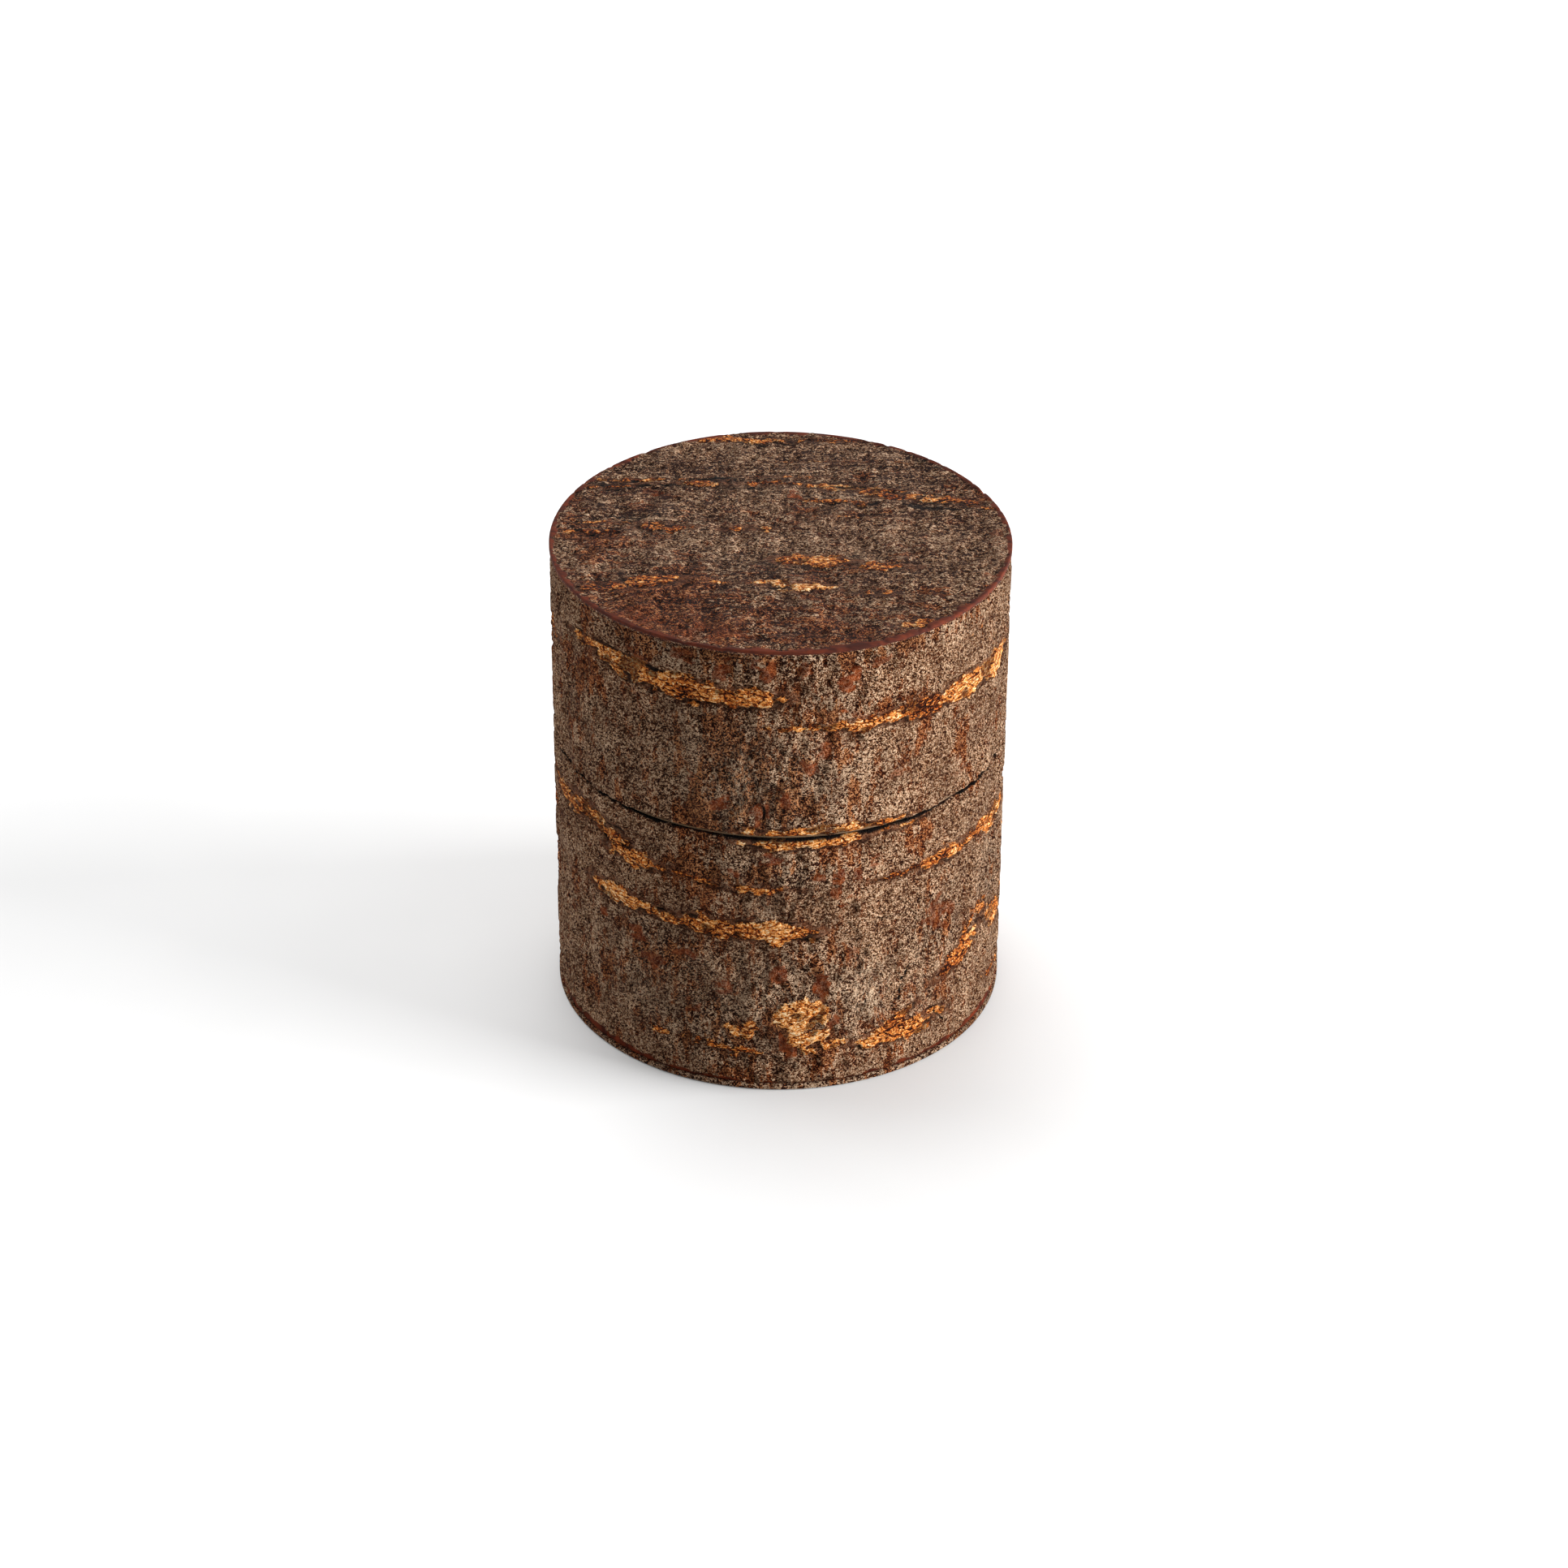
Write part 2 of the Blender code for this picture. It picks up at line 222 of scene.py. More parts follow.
# Lenticels on the top disc: x, y, half length, half height (mm), tilt, tone and how solid it is.
TOP_LENTICELS = [
    (-24, 21.4, 13, 0.45, 0.03, 0.4, 0.8),
    (-2, 22.6, 11, 0.4, -0.02, 0.34, 0.7),
    (17, 18.2, 9, 0.5, -0.12, 0.42, 0.8),
    (-31, 5.4, 7, 0.35, 0.02, 0.38, 0.7),
    (-28, -0.4, 9, 0.3, 0.02, 0.3, 0.7),
    (12, 8, 13, 0.3, -0.04, 0.3, 0.6),
    (10, 28.4, 15, 0.3, 0, 0.32, 0.6),
    (-30, 19, 10, 0.7, 0.12, 0.28, 0.7),
    (-13, 20.3, 4.8, 1.3, 0, 0.52, 0.7),
    (-3, 20.2, 7, 1.2, 0, 0.36, 0.5),
    (9.5, 19, 5.6, 1.7, -0.1, 0.62, 0.7),
    (19, 16, 6, 1.5, -0.3, 0.4, 0.6),
    (29, 14.4, 5.8, 1.5, -0.15, 0.46, 0.6),
    (36, 11.5, 3.6, 0.6, -0.3, 0.42, 0.7),
    (12, 13.2, 9, 0.8, -0.1, 0.3, 0.5),
    (-33, 2.2, 7, 0.7, 0, 0.26, 0.6),
    (-20.5, 3.8, 5.6, 1.8, 0, 0.36, 0.6),
    (-7.5, 3.2, 1.7, 1.1, 0, 0.58, 0.9),
    (-2.5, 3.5, 1.4, 1, 0, 0.54, 0.9),
    (5.5, -8, 6.4, 2.1, -0.03, 0.55, 1),
    (17.5, -9.9, 5.4, 1.4, 0, 0.5, 0.7),
    (2.5, -17, 7.6, 1.6, -0.1, 0.86, 0.9),
    (-8, -15.9, 4.2, 0.6, 0, 0.56, 0.7),
    (-21.5, -15.2, 5.4, 2.6, 0.15, 0.24, 0.6),
    (-31, -17.6, 5, 2, 0, 0.26, 0.6),
    (3, -34, 1.8, 1.2, 0, 0.48, 0.5),
    (23, -29.6, 3.8, 1.4, 0.3, 0.6, 0.6),
    (17, -19.2, 2.8, 1.2, 0, 0.4, 0.5),
    (33, -23, 2.4, 1, 0.2, 0.42, 0.6),
    (-9, 37, 12, 1.2, 0, 0.36, 0.6),
    (8, 36.8, 7, 0.9, 0, 0.46, 0.7),
]

# Rust-red patches on the top disc.
TOP_RUST = [
    (2.5, 15.4, 1.5, 1, 1), (-22, 17.2, 2.6, 1.2, 0.5), (-27, -0.5, 2, 1.6, 0.4),
    (-23.5, -3.5, 1.6, 1.2, 0.4), (2.5, 9, 2.4, 1, 0.3), (37, 3, 1.6, 2, 0.5),
    (36, -13, 1.6, 1.2, 0.5), (-26, -29, 7, 4, 0.5), (-12, -34, 8, 2.6, 0.5),
]

# Regions of the top disc worn through to red-brown bark; the two at the front darken it partly as painted
# shade, and the last, of negative strength, lightens the back as a painted sheen.
TOP_BARED_AND_PAINTED_LIGHT = [
    (-20, -25, 20, 12, 0.9), (6, -32, 22, 9, 0.75), (2, 8, 24, 4, 0.2), (-26, 14, 12, 4, 0.3),
    (-34, 6, 8, 14, 0.2), (2, 31, 40, 13, -0.3),
]

# Regions of the top disc furrowed along the grain.
TOP_FURROWED = [
    (-20, 22, 22, 6, 1), (20, 26, 20, 8, 0.9), (-24, 8, 16, 6, 0.7), (22, 12, 16, 6, 0.7),
    (0, -12, 26, 6, 0.5), (-14, -22, 16, 8, 0.5), (4, -34, 24, 4, 0.35),
]

# Long dark lines of the top disc: x, y, half length, half width, tilt, strength.
TOP_LINES = [
    (-25, 21.3, 12, 0.22, 0.02, 1), (-25, 19.6, 13, 0.26, 0.03, 1),
    (-28, 18.2, 9, 0.18, 0.02, 0.9), (-9, 21, 10, 0.22, -0.01, 0.9),
    (-4, 18.6, 13, 0.22, 0, 0.9), (12, 19.4, 9, 0.2, -0.02, 0.8),
    (12, 13.2, 9, 0.24, -0.03, 0.9), (28, 11.6, 10, 0.24, -0.05, 0.9),
    (26, 14.6, 8, 0.18, -0.03, 0.8), (-4, 36, 12, 0.24, 0, 0.9), (-2, 37.8, 9, 0.18, 0, 0.8),
    (-33, 3.4, 6, 0.22, 0.05, 0.9), (-32, 1.4, 7, 0.2, 0.03, 0.8), (-20, 4.8, 9, 0.16, 0, 0.7),
    (-30, -14.8, 8, 0.22, -0.02, 0.8), (5, -11.2, 9, 0.18, -0.03, 0.7),
    (-16, -20.6, 7, 0.16, 0, 0.5),
]

# Regions of the top disc with pale fibres.
TOP_PALE = [
    (-4, 21, 12, 3, 0.5), (12, 16, 12, 4, 0.4), (-20, 3, 10, 4, 0.5), (0, -8, 26, 5, 0.3),
]


def smooth_noise(rng, shape, blur):
    """A periodic random field of unit spread, blurred by (rows, columns) cells."""
    rows = np.fft.fftfreq(shape[0])[:, None] * blur[0]
    columns = np.fft.rfftfreq(shape[1])[None, :] * blur[1]
    spectrum = np.fft.rfft2(rng.standard_normal(shape))
    spectrum *= np.exp(-2.0 * math.pi ** 2 * (rows ** 2 + columns ** 2))
    field = np.fft.irfft2(spectrum, s=shape)
    return (field - field.mean()) / field.std()


# Blurs of the noise fields: along the trunk, round the trunk (mm).
FIELD_BLURS = {
    "grain": (0.26, 0.26),
    "pebble": (0.55, 0.45),
    "lumps": (1.3, 1.1),
    "swell": (5.0, 6.0),
    "streak": (2.8, 0.8),
    "fibre": (0.26, 0.9),
    "ragged": (0.35, 0.7),
    "bend": (1.6, 1.6),
    "mottle": (3.0, 2.2),
    "furrow": (0.6, 13.0),
    "vein": (1.5, 0.55),
}


class BarkSheet:
    """A flat sheet of bark that repeats across and along, with its noise fields."""

    def __init__(self, across, along, seed):
        self.columns = round(across / NOISE_CELL)
        self.rows = round(along / NOISE_CELL)
        self.column_size = across / self.columns
        self.row_size = along / self.rows
        rng = np.random.default_rng(seed)
        self.fields = {}
        for name, (blur_along, blur_across) in FIELD_BLURS.items():
            blur = (blur_along / self.row_size, blur_across / self.column_size)
            self.fields[name] = smooth_noise(rng, (self.rows, self.columns), blur)

    def at(self, name, across, along):
        """A field's value at points given in millimetres, read between its cells."""
        field = self.fields[name]
        column = across / self.column_size
        row = along / self.row_size
        left = np.floor(column).astype(int)
        low = np.floor(row).astype(int)
        right_share = column - left
        high_share = row - low
        left_column, right_column = left % self.columns, (left + 1) % self.columns
        low_row, high_row = low % self.rows, (low + 1) % self.rows
        bottom = field[low_row, left_column] * (1 - right_share) + field[low_row, right_column] * right_share
        top = field[high_row, left_column] * (1 - right_share) + field[high_row, right_column] * right_share
        return bottom * (1 - high_share) + top * high_share


def bell(value, width):
    """1 at 0, falling away over width on either side."""
    return np.exp(-((value / width) ** 2))


def step(low, high, value):
    """Smooth step from 0 at low to 1 at high; low may be the larger."""
    share = np.clip((value - low) / (high - low), 0.0, 1.0)
    return share * share * (3.0 - 2.0 * share)


def shortest(side, wrap):
    """A distance round the sheet taken the shorter way; wrap is its whole length, or 0 on a flat face."""
    return (side + wrap / 2.0) % wrap - wrap / 2.0 if wrap else side


def lens(across, along, ragged, centre, half_length, half_height, tilt, wrap):
    """1 inside a pointed lens-shaped patch with a torn edge, 0 outside."""
    side = shortest(across - centre[0], wrap)
    rise = along - centre[1] - tilt * side
    reach = 1.0 - (side / half_length) ** 2
    width = half_height * np.clip(reach, 0.0, 1.0) ** 0.75
    edge = width - np.abs(rise) + 0.34 * ragged * min(half_height, 1.5)
    return step(-0.05, 0.4, edge) * step(-0.1, 0.08, reach)


def crack_mask(across, along, bend, crack, wrap):
    """1 along a wandering crack that runs down the trunk."""
    angle, top, bottom, half_width, drift, strength = crack
    share = np.clip((top - along) / (top - bottom), 0.0, 1.0)
    path = (angle + drift * (share - 0.5)) * MM_PER_DEGREE + 0.75 * bend
    side = shortest(across - path, wrap)
    taper = np.sqrt(np.clip(4.0 * share * (1.0 - share), 0.0, 1.0))
    width = half_width * (0.35 + 0.65 * taper)
    inside = step(0.0, 0.4, top - along) * step(0.0, 0.4, along - bottom)
    broken = step(-1.6, -0.4, bend + np.sin(5.0 * along))
    return strength * inside * broken * bell(side, 0.8 * width + 0.06)


def line_mask(across, along, bend, line):
    """1 along a wandering dark line that follows the grain of the top disc."""
    x, y, half_length, half_width, tilt, strength = line
    side = across - x
    rise = along - y - tilt * side + 0.3 * bend
    taper = np.sqrt(np.clip(1.0 - (side / half_length) ** 2, 0.0, 1.0))
    broken = step(-1.5, -0.5, bend + np.sin(1.3 * across + y))
    return strength * taper * broken * bell(rise, half_width)


def blob(across, along, region, wrap):
    """A soft oval region, 1 times its strength at the centre."""
    x, y, half_length, half_height, strength = region
    side = shortest(across - x, wrap)
    return strength * np.exp(-((side / half_length) ** 2) - ((along - y) / half_height) ** 2)


def covered(across, along, regions, wrap):
    """The strongest of the regions at each point, less those of negative strength."""
    cover = np.zeros_like(across)
    for region in regions:
        share = blob(across, along, region, wrap)
        cover = np.where(share < 0.0, cover + share, np.maximum(cover, share))
    return cover


def bark_surface(sheet, across, along, features, wrap):
    """Relief in millimetres and the masks of the finish, at points of a bark sheet."""
    def field(name):
        return sheet.at(name, across, along)

    lenticels, rust_patches, pale_regions, bared_and_painted_light_regions, furrowed_regions = features
    ragged, fibre, pebble = field("ragged"), field("fibre"), field("pebble")
    grain, lumps, bend = field("grain"), field("lumps"), field("bend")

    # Raised threads run between sunken pits all over the weathered face.
    threads = bell(pebble, 0.45)
    pits = step(0.6, 1.9, np.abs(pebble + 0.4 * grain))
    relief = 0.17 * threads - 0.26 * pits + 0.08 * grain + 0.15 * lumps + 0.06 * field("swell")
    relief += 0.11 * field("streak")

    mask = np.zeros_like(across)
    tone = np.full_like(across, 0.5)
    rim = np.zeros_like(across)
    groove_with_painted_shadow = np.zeros_like(across)
    for x, y, half_length, half_height, tilt, patch_tone, solid in lenticels:
        torn = ragged + 2.4 * (solid - 1.0) * np.abs(lumps + 0.5 * pebble)
        patch = lens(across, along, torn, (x, y), half_length, half_height, tilt, wrap)
        outer = lens(across, along, 0.5 * ragged, (x, y), half_length + 2.6, half_height + 0.4, tilt, wrap)
        # A lens shifted down under each lenticel: a groove in the relief, which the material paints near
        # black as the lenticel's shadow.
        below = lens(across, along, 0.8 * ragged, (x, y - 0.45), half_length, half_height, tilt, wrap)
        tone = np.where(patch > mask, patch_tone, tone)
        rim = np.maximum(rim, outer * solid)
        groove_with_painted_shadow = np.maximum(groove_with_painted_shadow, below * solid)
        mask = np.maximum(mask, patch)
    rim = rim * (1.0 - mask)
    groove_with_painted_shadow = groove_with_painted_shadow * (1.0 - mask)
    strands = np.abs(fibre + 0.6 * bend)
    hollow = step(0.7, 1.6, lumps + 0.5 * ragged) * step(0.12, 0.25, tone)
    flesh = 0.14 * step(1.2, 0.1, strands) - 0.26 * hollow + 0.06 * grain
    flesh = np.where(tone < 0.1, 0.04 * grain - 0.05, flesh)
    relief = relief * (1.0 - mask) * (1.0 - 0.6 * rim) + (flesh + 0.06) * mask + 0.05 * rim - 0.22 * groove_with_painted_shadow

    rust = np.zeros_like(across)
    for x, y, half_length, half_height, strength in rust_patches:
        patch = lens(across, along, 2.4 * ragged, (x, y), half_length, half_height, 0.0, wrap)
        rust = np.maximum(rust, strength * patch)
    relief -= 0.05 * rust
    pale = covered(across, along, pale_regions, wrap)
    vein_field = field("vein")
    vein = bell(vein_field, 0.15) * step(0.25, 0.7, pale) * step(-1.2, 0.2, ragged + bend)
    pocket = step(0.25, 0.6, vein_field) * step(1.5, 0.9, vein_field) * step(0.25, 0.7, pale)
    relief += (0.18 * vein - 0.16 * pocket) * (1.0 - mask)
    bared_and_painted_light = covered(across, along, bared_and_painted_light_regions, wrap)
    furrowed = np.maximum(0.8 * rim, covered(across, along, furrowed_regions, wrap))
    furrow = bell(field("furrow"), 0.36) * furrowed * step(-2.0, -0.6, ragged + bend)
    relief -= 0.24 * furrow

    return relief, {
        "pits": pits,
        "lenticel": mask,
        "tone": np.clip(tone + 0.12 * bend, 0.0, 1.0),
        "hollow": hollow * mask,
        "rim": rim,
        "groove_with_painted_shadow": groove_with_painted_shadow,
        "rust": rust,
        "pale": pale,
        "vein": vein,
        "bared_and_painted_light": bared_and_painted_light,
        "lined": furrowed,
        "dark": 0.9 * furrow,
        "lumps": lumps,
        "mottle": field("mottle"),
        "streak": field("streak"),
    }


def quads_to_mesh(name, points, quads, extra_faces=()):
    """A smooth mesh from point and quad arrays, in millimetres, with a few larger faces."""
    mesh = bpy.data.meshes.new(name)
    loops = [np.asarray(quads, dtype=np.int32).ravel()]
    sizes = [4] * len(quads)
    for face in extra_faces:
        loops.append(np.asarray(face, dtype=np.int32))
        sizes.append(len(face))
    corners = np.concatenate(loops)
    sizes = np.array(sizes, dtype=np.int32)
    mesh.vertices.add(len(points))
    mesh.vertices.foreach_set("co", (points * MM).astype(np.float32).ravel())
    mesh.loops.add(len(corners))
    mesh.loops.foreach_set("vertex_index", corners)
    mesh.polygons.add(len(sizes))
    mesh.polygons.foreach_set("loop_start", np.concatenate([[0], np.cumsum(sizes)[:-1]]).astype(np.int32))
    mesh.update(calc_edges=True)
    mesh.validate()
    mesh.shade_smooth()
    return mesh


def store_masks(mesh, masks):
    """Keeps each mask as a point attribute that the material reads."""
    for name, values in masks.items():
        attribute = mesh.attributes.new(name, "FLOAT", "POINT")
        attribute.data.foreach_set("value", np.asarray(values, dtype=np.float32).ravel())


def place(name, mesh, body, material, slot, *nodes):
    """Links a piece, rides it on its body and lets it stand for its CAD nodes."""
    piece = bpy.data.objects.new(name, mesh)
    bpy.context.scene.collection.objects.link(piece)
    mesh.materials.append(material)
    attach(piece, body)
    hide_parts(*nodes)
    return piece


def ring_quads(rows, columns, close_rows):
    """Quads of a grid whose columns run once round, with rows that may close too."""
    row = np.arange(rows if close_rows else rows - 1)[:, None]
    column = np.arange(columns)[None, :]
    next_row = (row + 1) % rows
    next_column = (column + 1) % columns
    corners = np.stack([
        row * columns + column,
        row * columns + next_column,
        next_row * columns + next_column,
        next_row * columns + column,
    ], axis=-1)
    return corners.reshape(-1, 4)


def sleeve(name, low, high, sheet, features):
    """A rough bark tube: displaced outside, plain cut ends and a plain inner wall."""
    columns = 4 * round(2.0 * math.pi * RADIUS / SLEEVE_CELL / 4)
    rows = round((high - low) / SLEEVE_CELL) + 1
    heights = np.linspace(low, high, rows)
    angles = np.arange(columns) * 360.0 / columns
    angle_grid, height_grid = np.meshgrid(angles, heights)
    across = angle_grid * MM_PER_DEGREE
    wrap = 360.0 * MM_PER_DEGREE

    relief, masks = bark_surface(sheet, across, height_grid, features, wrap)
    bend = sheet.at("bend", across, height_grid)
    dark = masks["dark"]
    for crack in DARK_CRACKS:
        dark = np.maximum(dark, crack_mask(across, height_grid, bend, crack, wrap))
    torn_edge = sheet.at("ragged", across, height_grid * 0.0 + low)
    from_seam = np.abs(height_grid - SEAM)
    from_lap = across - (LAP_ANGLE * MM_PER_DEGREE + 0.02 * height_grid + 0.08 * torn_edge)
    dark = np.maximum(dark, 0.9 * bell(from_lap, 0.16))
    # Painted shade: the bark darkens within about half a millimetre of the line between lid and body, as
    # shade falling into the gap.
    dark = np.maximum(dark, step(0.46, 0.24, from_seam - 0.12 * torn_edge))
    masks["dark"] = dark
    masks["polish"] = end_polish(angle_grid, height_grid, masks)
    relief = (relief - 0.35 * dark) * (1.0 - 0.8 * masks["polish"])

    from_end = np.minimum(height_grid - low, high - height_grid)
    edge_width = 0.34 + 0.14 * np.clip(torn_edge, -1.5, 1.5)
    rounding = 0.26 * (1.0 - np.clip(from_end / edge_width, 0.0, 1.0)) ** 2

    radius = np.clip(RADIUS - SIDE_SKIN + relief, RADIUS - DEEPEST, RADIUS - CLEARANCE) - rounding
    turn = np.radians(angle_grid - 90.0)
    outside = np.stack([radius * np.cos(turn), radius * np.sin(turn), height_grid], axis=-1)

    inner_radius = RADIUS - SLEEVE_THICKNESS
    inner_turn = np.radians(angles - 90.0)
    inner = np.stack([inner_radius * np.cos(inner_turn), inner_radius * np.sin(inner_turn)], axis=-1)
    inner_edges = [np.column_stack([inner, np.full(columns, level)]) for level in (high, low)]
    points = np.concatenate([outside.reshape(-1, 3), *inner_edges])
    mesh = quads_to_mesh(name, points, ring_quads(rows + 2, columns, True))

    padded = {key: np.concatenate([values, values[-1:], values[:1]]) for key, values in masks.items()}
    padded["polish"][-2:] = 0.6
    store_masks(mesh, padded)
    return mesh


def end_polish(angle, height, masks):
    """How far the bark is sanded smooth near the foot."""
    signed = (angle + 180.0) % 360.0 - 180.0
    left = bell(signed + 55.0, 32.0)
    right = bell(signed - 75.0, 34.0)
    back = bell(np.abs(signed) - 170.0, 50.0)
    reach = 0.5 + 1.1 * left + 1.0 * right + 1.2 * back + 0.35 * masks["streak"]
    return step(0.0, 0.9, BODY_LOW + reach - height)


def disc_grid(cells):
    """Points of a square grid folded onto the unit disc, its quads, and its border in order."""
    side = np.linspace(-1.0, 1.0, cells + 1)
    x, y = np.meshgrid(side, side)
    wide = np.abs(x) >= np.abs(y)
    reach = np.where(wide, x, y)
    safe = np.where(reach == 0.0, 1.0, reach)
    turn = np.where(wide, math.pi / 4.0 * y / safe, math.pi / 2.0 - math.pi / 4.0 * x / safe)
    points = np.stack([reach * np.cos(turn), reach * np.sin(turn)], axis=-1).reshape(-1, 2)
    index = np.arange((cells + 1) ** 2).reshape(cells + 1, cells + 1)
    corners = [index[:-1, :-1], index[:-1, 1:], index[1:, 1:], index[1:, :-1]]
    quads = np.stack(corners, axis=-1).reshape(-1, 4)
    border = np.concatenate([index[0, :-1], index[:-1, -1], index[-1, :0:-1], index[:0:-1, 0]])
    return points, quads, border


def rim_size(angle):
    """Width and drop in millimetres of the polished rim, broader where it was sanded more."""
    front_right = bell(angle - 28.0, 22.0)
    back_right = bell(angle - 118.0, 34.0)
    wave = 0.05 * np.sin(np.radians(3.0 * angle) + 0.6) + 0.04 * np.sin(np.radians(7.0 * angle))
    width = 0.22 + 0.42 * front_right + 0.3 * back_right + wave
    drop = 0.26 + 0.3 * front_right + 0.3 * back_right + wave
    return width, drop


def rough_disc(name, low, high, sheet):
    """The top bark disc: a rough face inside a smooth polished rim."""
    unit, quads, border = disc_grid(TOP_CELLS)
    angles = np.degrees(np.arctan2(unit[:, 0], -unit[:, 1]))
    rim_width, sag = rim_size(angles)
    face_radius = RADIUS - RIM_INSET - rim_width
    face = unit * face_radius[:, None]
    across, along = face[:, 0], face[:, 1]
    features = (TOP_LENTICELS, TOP_RUST, TOP_PALE, TOP_BARED_AND_PAINTED_LIGHT, TOP_FURROWED)
    relief, masks = bark_surface(sheet, across, along, features, 0.0)
    bend = sheet.at("bend", across, along)
    lines = np.zeros(len(face))
    for line in TOP_LINES:
        lines = np.maximum(lines, line_mask(across, along, bend, line))
    masks["dark"] = np.maximum(masks["dark"], lines)
    from_rim = face_radius - np.linalg.norm(face, axis=1)
    settle = step(0.0, 1.1, from_rim + 0.25 * sheet.at("ragged", across, along))
    relief = (relief - 0.24 * lines) * settle
    lowered = 0.25 * sag * np.linalg.norm(unit, axis=1) ** 6
    height = np.clip(high - TOP_SKIN * settle - 0.05 + relief, high - DEEPEST, high - CLEARANCE) - lowered
    points = np.concatenate([face, height[:, None]], axis=1)

    border_angle = angles[border]
    width, drop = rim_size(border_angle)
    start = height[border]
    rings = []
    for number in range(1, RIM_STEPS + 1):
        turn = math.pi / 2.0 * number / RIM_STEPS
        radius = face_radius[border] + width * math.sin(turn)
        level = start - drop * (1.0 - math.cos(turn))
        rings.append((radius, level))
    wall = RADIUS - RIM_INSET
    shoulder = rings[-1][1]
    for share in (0.3, 0.6, 1.0):
        rings.append((np.full(len(border), wall), shoulder + share * (low - shoulder)))
    for radius, level in rings:
        direction = unit[border]
        points = np.concatenate([points, np.column_stack([direction * radius[:, None], level])])
    wall_start = len(points) - 2 * len(border)

    rim_quads = [quads]
    previous = border
    first = len(unit)
    count = len(border)
    for number in range(len(rings)):
        ring = first + number * count + np.arange(count)
        rim_quads.append(np.stack([previous, ring, np.roll(ring, -1), np.roll(previous, -1)], axis=-1))
        previous = ring
    mesh = quads_to_mesh(name, points, np.concatenate(rim_quads), [previous[::-1]])

    rim_count = len(points) - len(unit)
    masks["polish"] = 1.0 - settle
    padded = {key: np.concatenate([values, np.zeros(rim_count)]) for key, values in masks.items()}
    padded["polish"][len(unit):wall_start] = 1.0
    padded["bared_and_painted_light"][wall_start:] = 0.6
    store_masks(mesh, padded)
    return mesh


def back_lenticels(rng):
    """Rows of random lenticels for the back, some of them end to end."""
    patches = []
    for height in (81.5, 74.0, 63.0, 46.5, 39.5, 31.0, 22.0, 12.5):
        angle = 88.0 + rng.uniform(0.0, 30.0)
        while angle < 282.0:
            size = rng.uniform(3.0, 9.0)
            tone = rng.choice([0.3, 0.42, 0.52, 0.62, 0.74])
            patches.append((angle, height + rng.uniform(-1.6, 1.6), size, rng.uniform(0.16, 0.3) * size,
                            rng.uniform(-0.04, 0.04), tone, rng.uniform(0.5, 1.0)))
            angle += 1.8 * size / MM_PER_DEGREE + rng.choice([0.0, 1.0, 3.0, 20.0, 44.0])
    return patches


def rounded_outline(corners, bevel, pitch, closed):
    """Points along an outline of (radius, height) corners, rounded by bevel, no further apart than pitch."""
    corners = [np.array(corner, dtype=float) for corner in corners]
    count = len(corners)
    stops = []
    for number, corner in enumerate(corners):
        if not closed and number in (0, count - 1):
            stops.append([corner])
            continue
        back = corners[number - 1] - corner
        ahead = corners[(number + 1) % count] - corner
        start = corner + back / np.linalg.norm(back) * bevel
        end = corner + ahead / np.linalg.norm(ahead) * bevel
        shares = np.linspace(0.0, 1.0, 5)
        stops.append([(1 - t) ** 2 * start + 2 * t * (1 - t) * corner + t ** 2 * end for t in shares])
    points = []
    for number, run in enumerate(stops):
        points.extend(run)
        if number == count - 1 and not closed:
            break
        start, end = run[-1], stops[(number + 1) % count][0]
        pieces = max(1, math.ceil(np.linalg.norm(end - start) / pitch))
        points.extend(start + (end - start) * step_number / pieces for step_number in range(1, pieces))
    return np.array(points)


def turned(name, corners, closed, seed, bevel=0.12, pitch=1.2, waver=0.03):
    """A solid of revolution with softened edges and a slight hand-made unevenness."""
    outline = rounded_outline(corners, bevel, pitch, closed)
    rows = len(outline)
    rng = np.random.default_rng(seed)
    uneven = smooth_noise(rng, (rows, TURNED_SEGMENTS), (1.6, 14.0))
    angles = np.arange(TURNED_SEGMENTS) * 2.0 * math.pi / TURNED_SEGMENTS
    inset = waver * np.clip(np.abs(uneven), 0.0, 2.0) * (0.5 if closed else 1.0)
    radius = np.maximum(outline[:, 0][:, None] - inset, HEART / 2.0)
    level = np.broadcast_to(outline[:, 1][:, None], radius.shape)
    points = np.stack([radius * np.cos(angles), radius * np.sin(angles), level], axis=-1).reshape(-1, 3)
    caps = []
    if not closed:
        ring = np.arange(TURNED_SEGMENTS)
        caps = [ring[::-1], (rows - 1) * TURNED_SEGMENTS + ring]
    return quads_to_mesh(name, points, ring_quads(rows, TURNED_SEGMENTS, closed), caps)


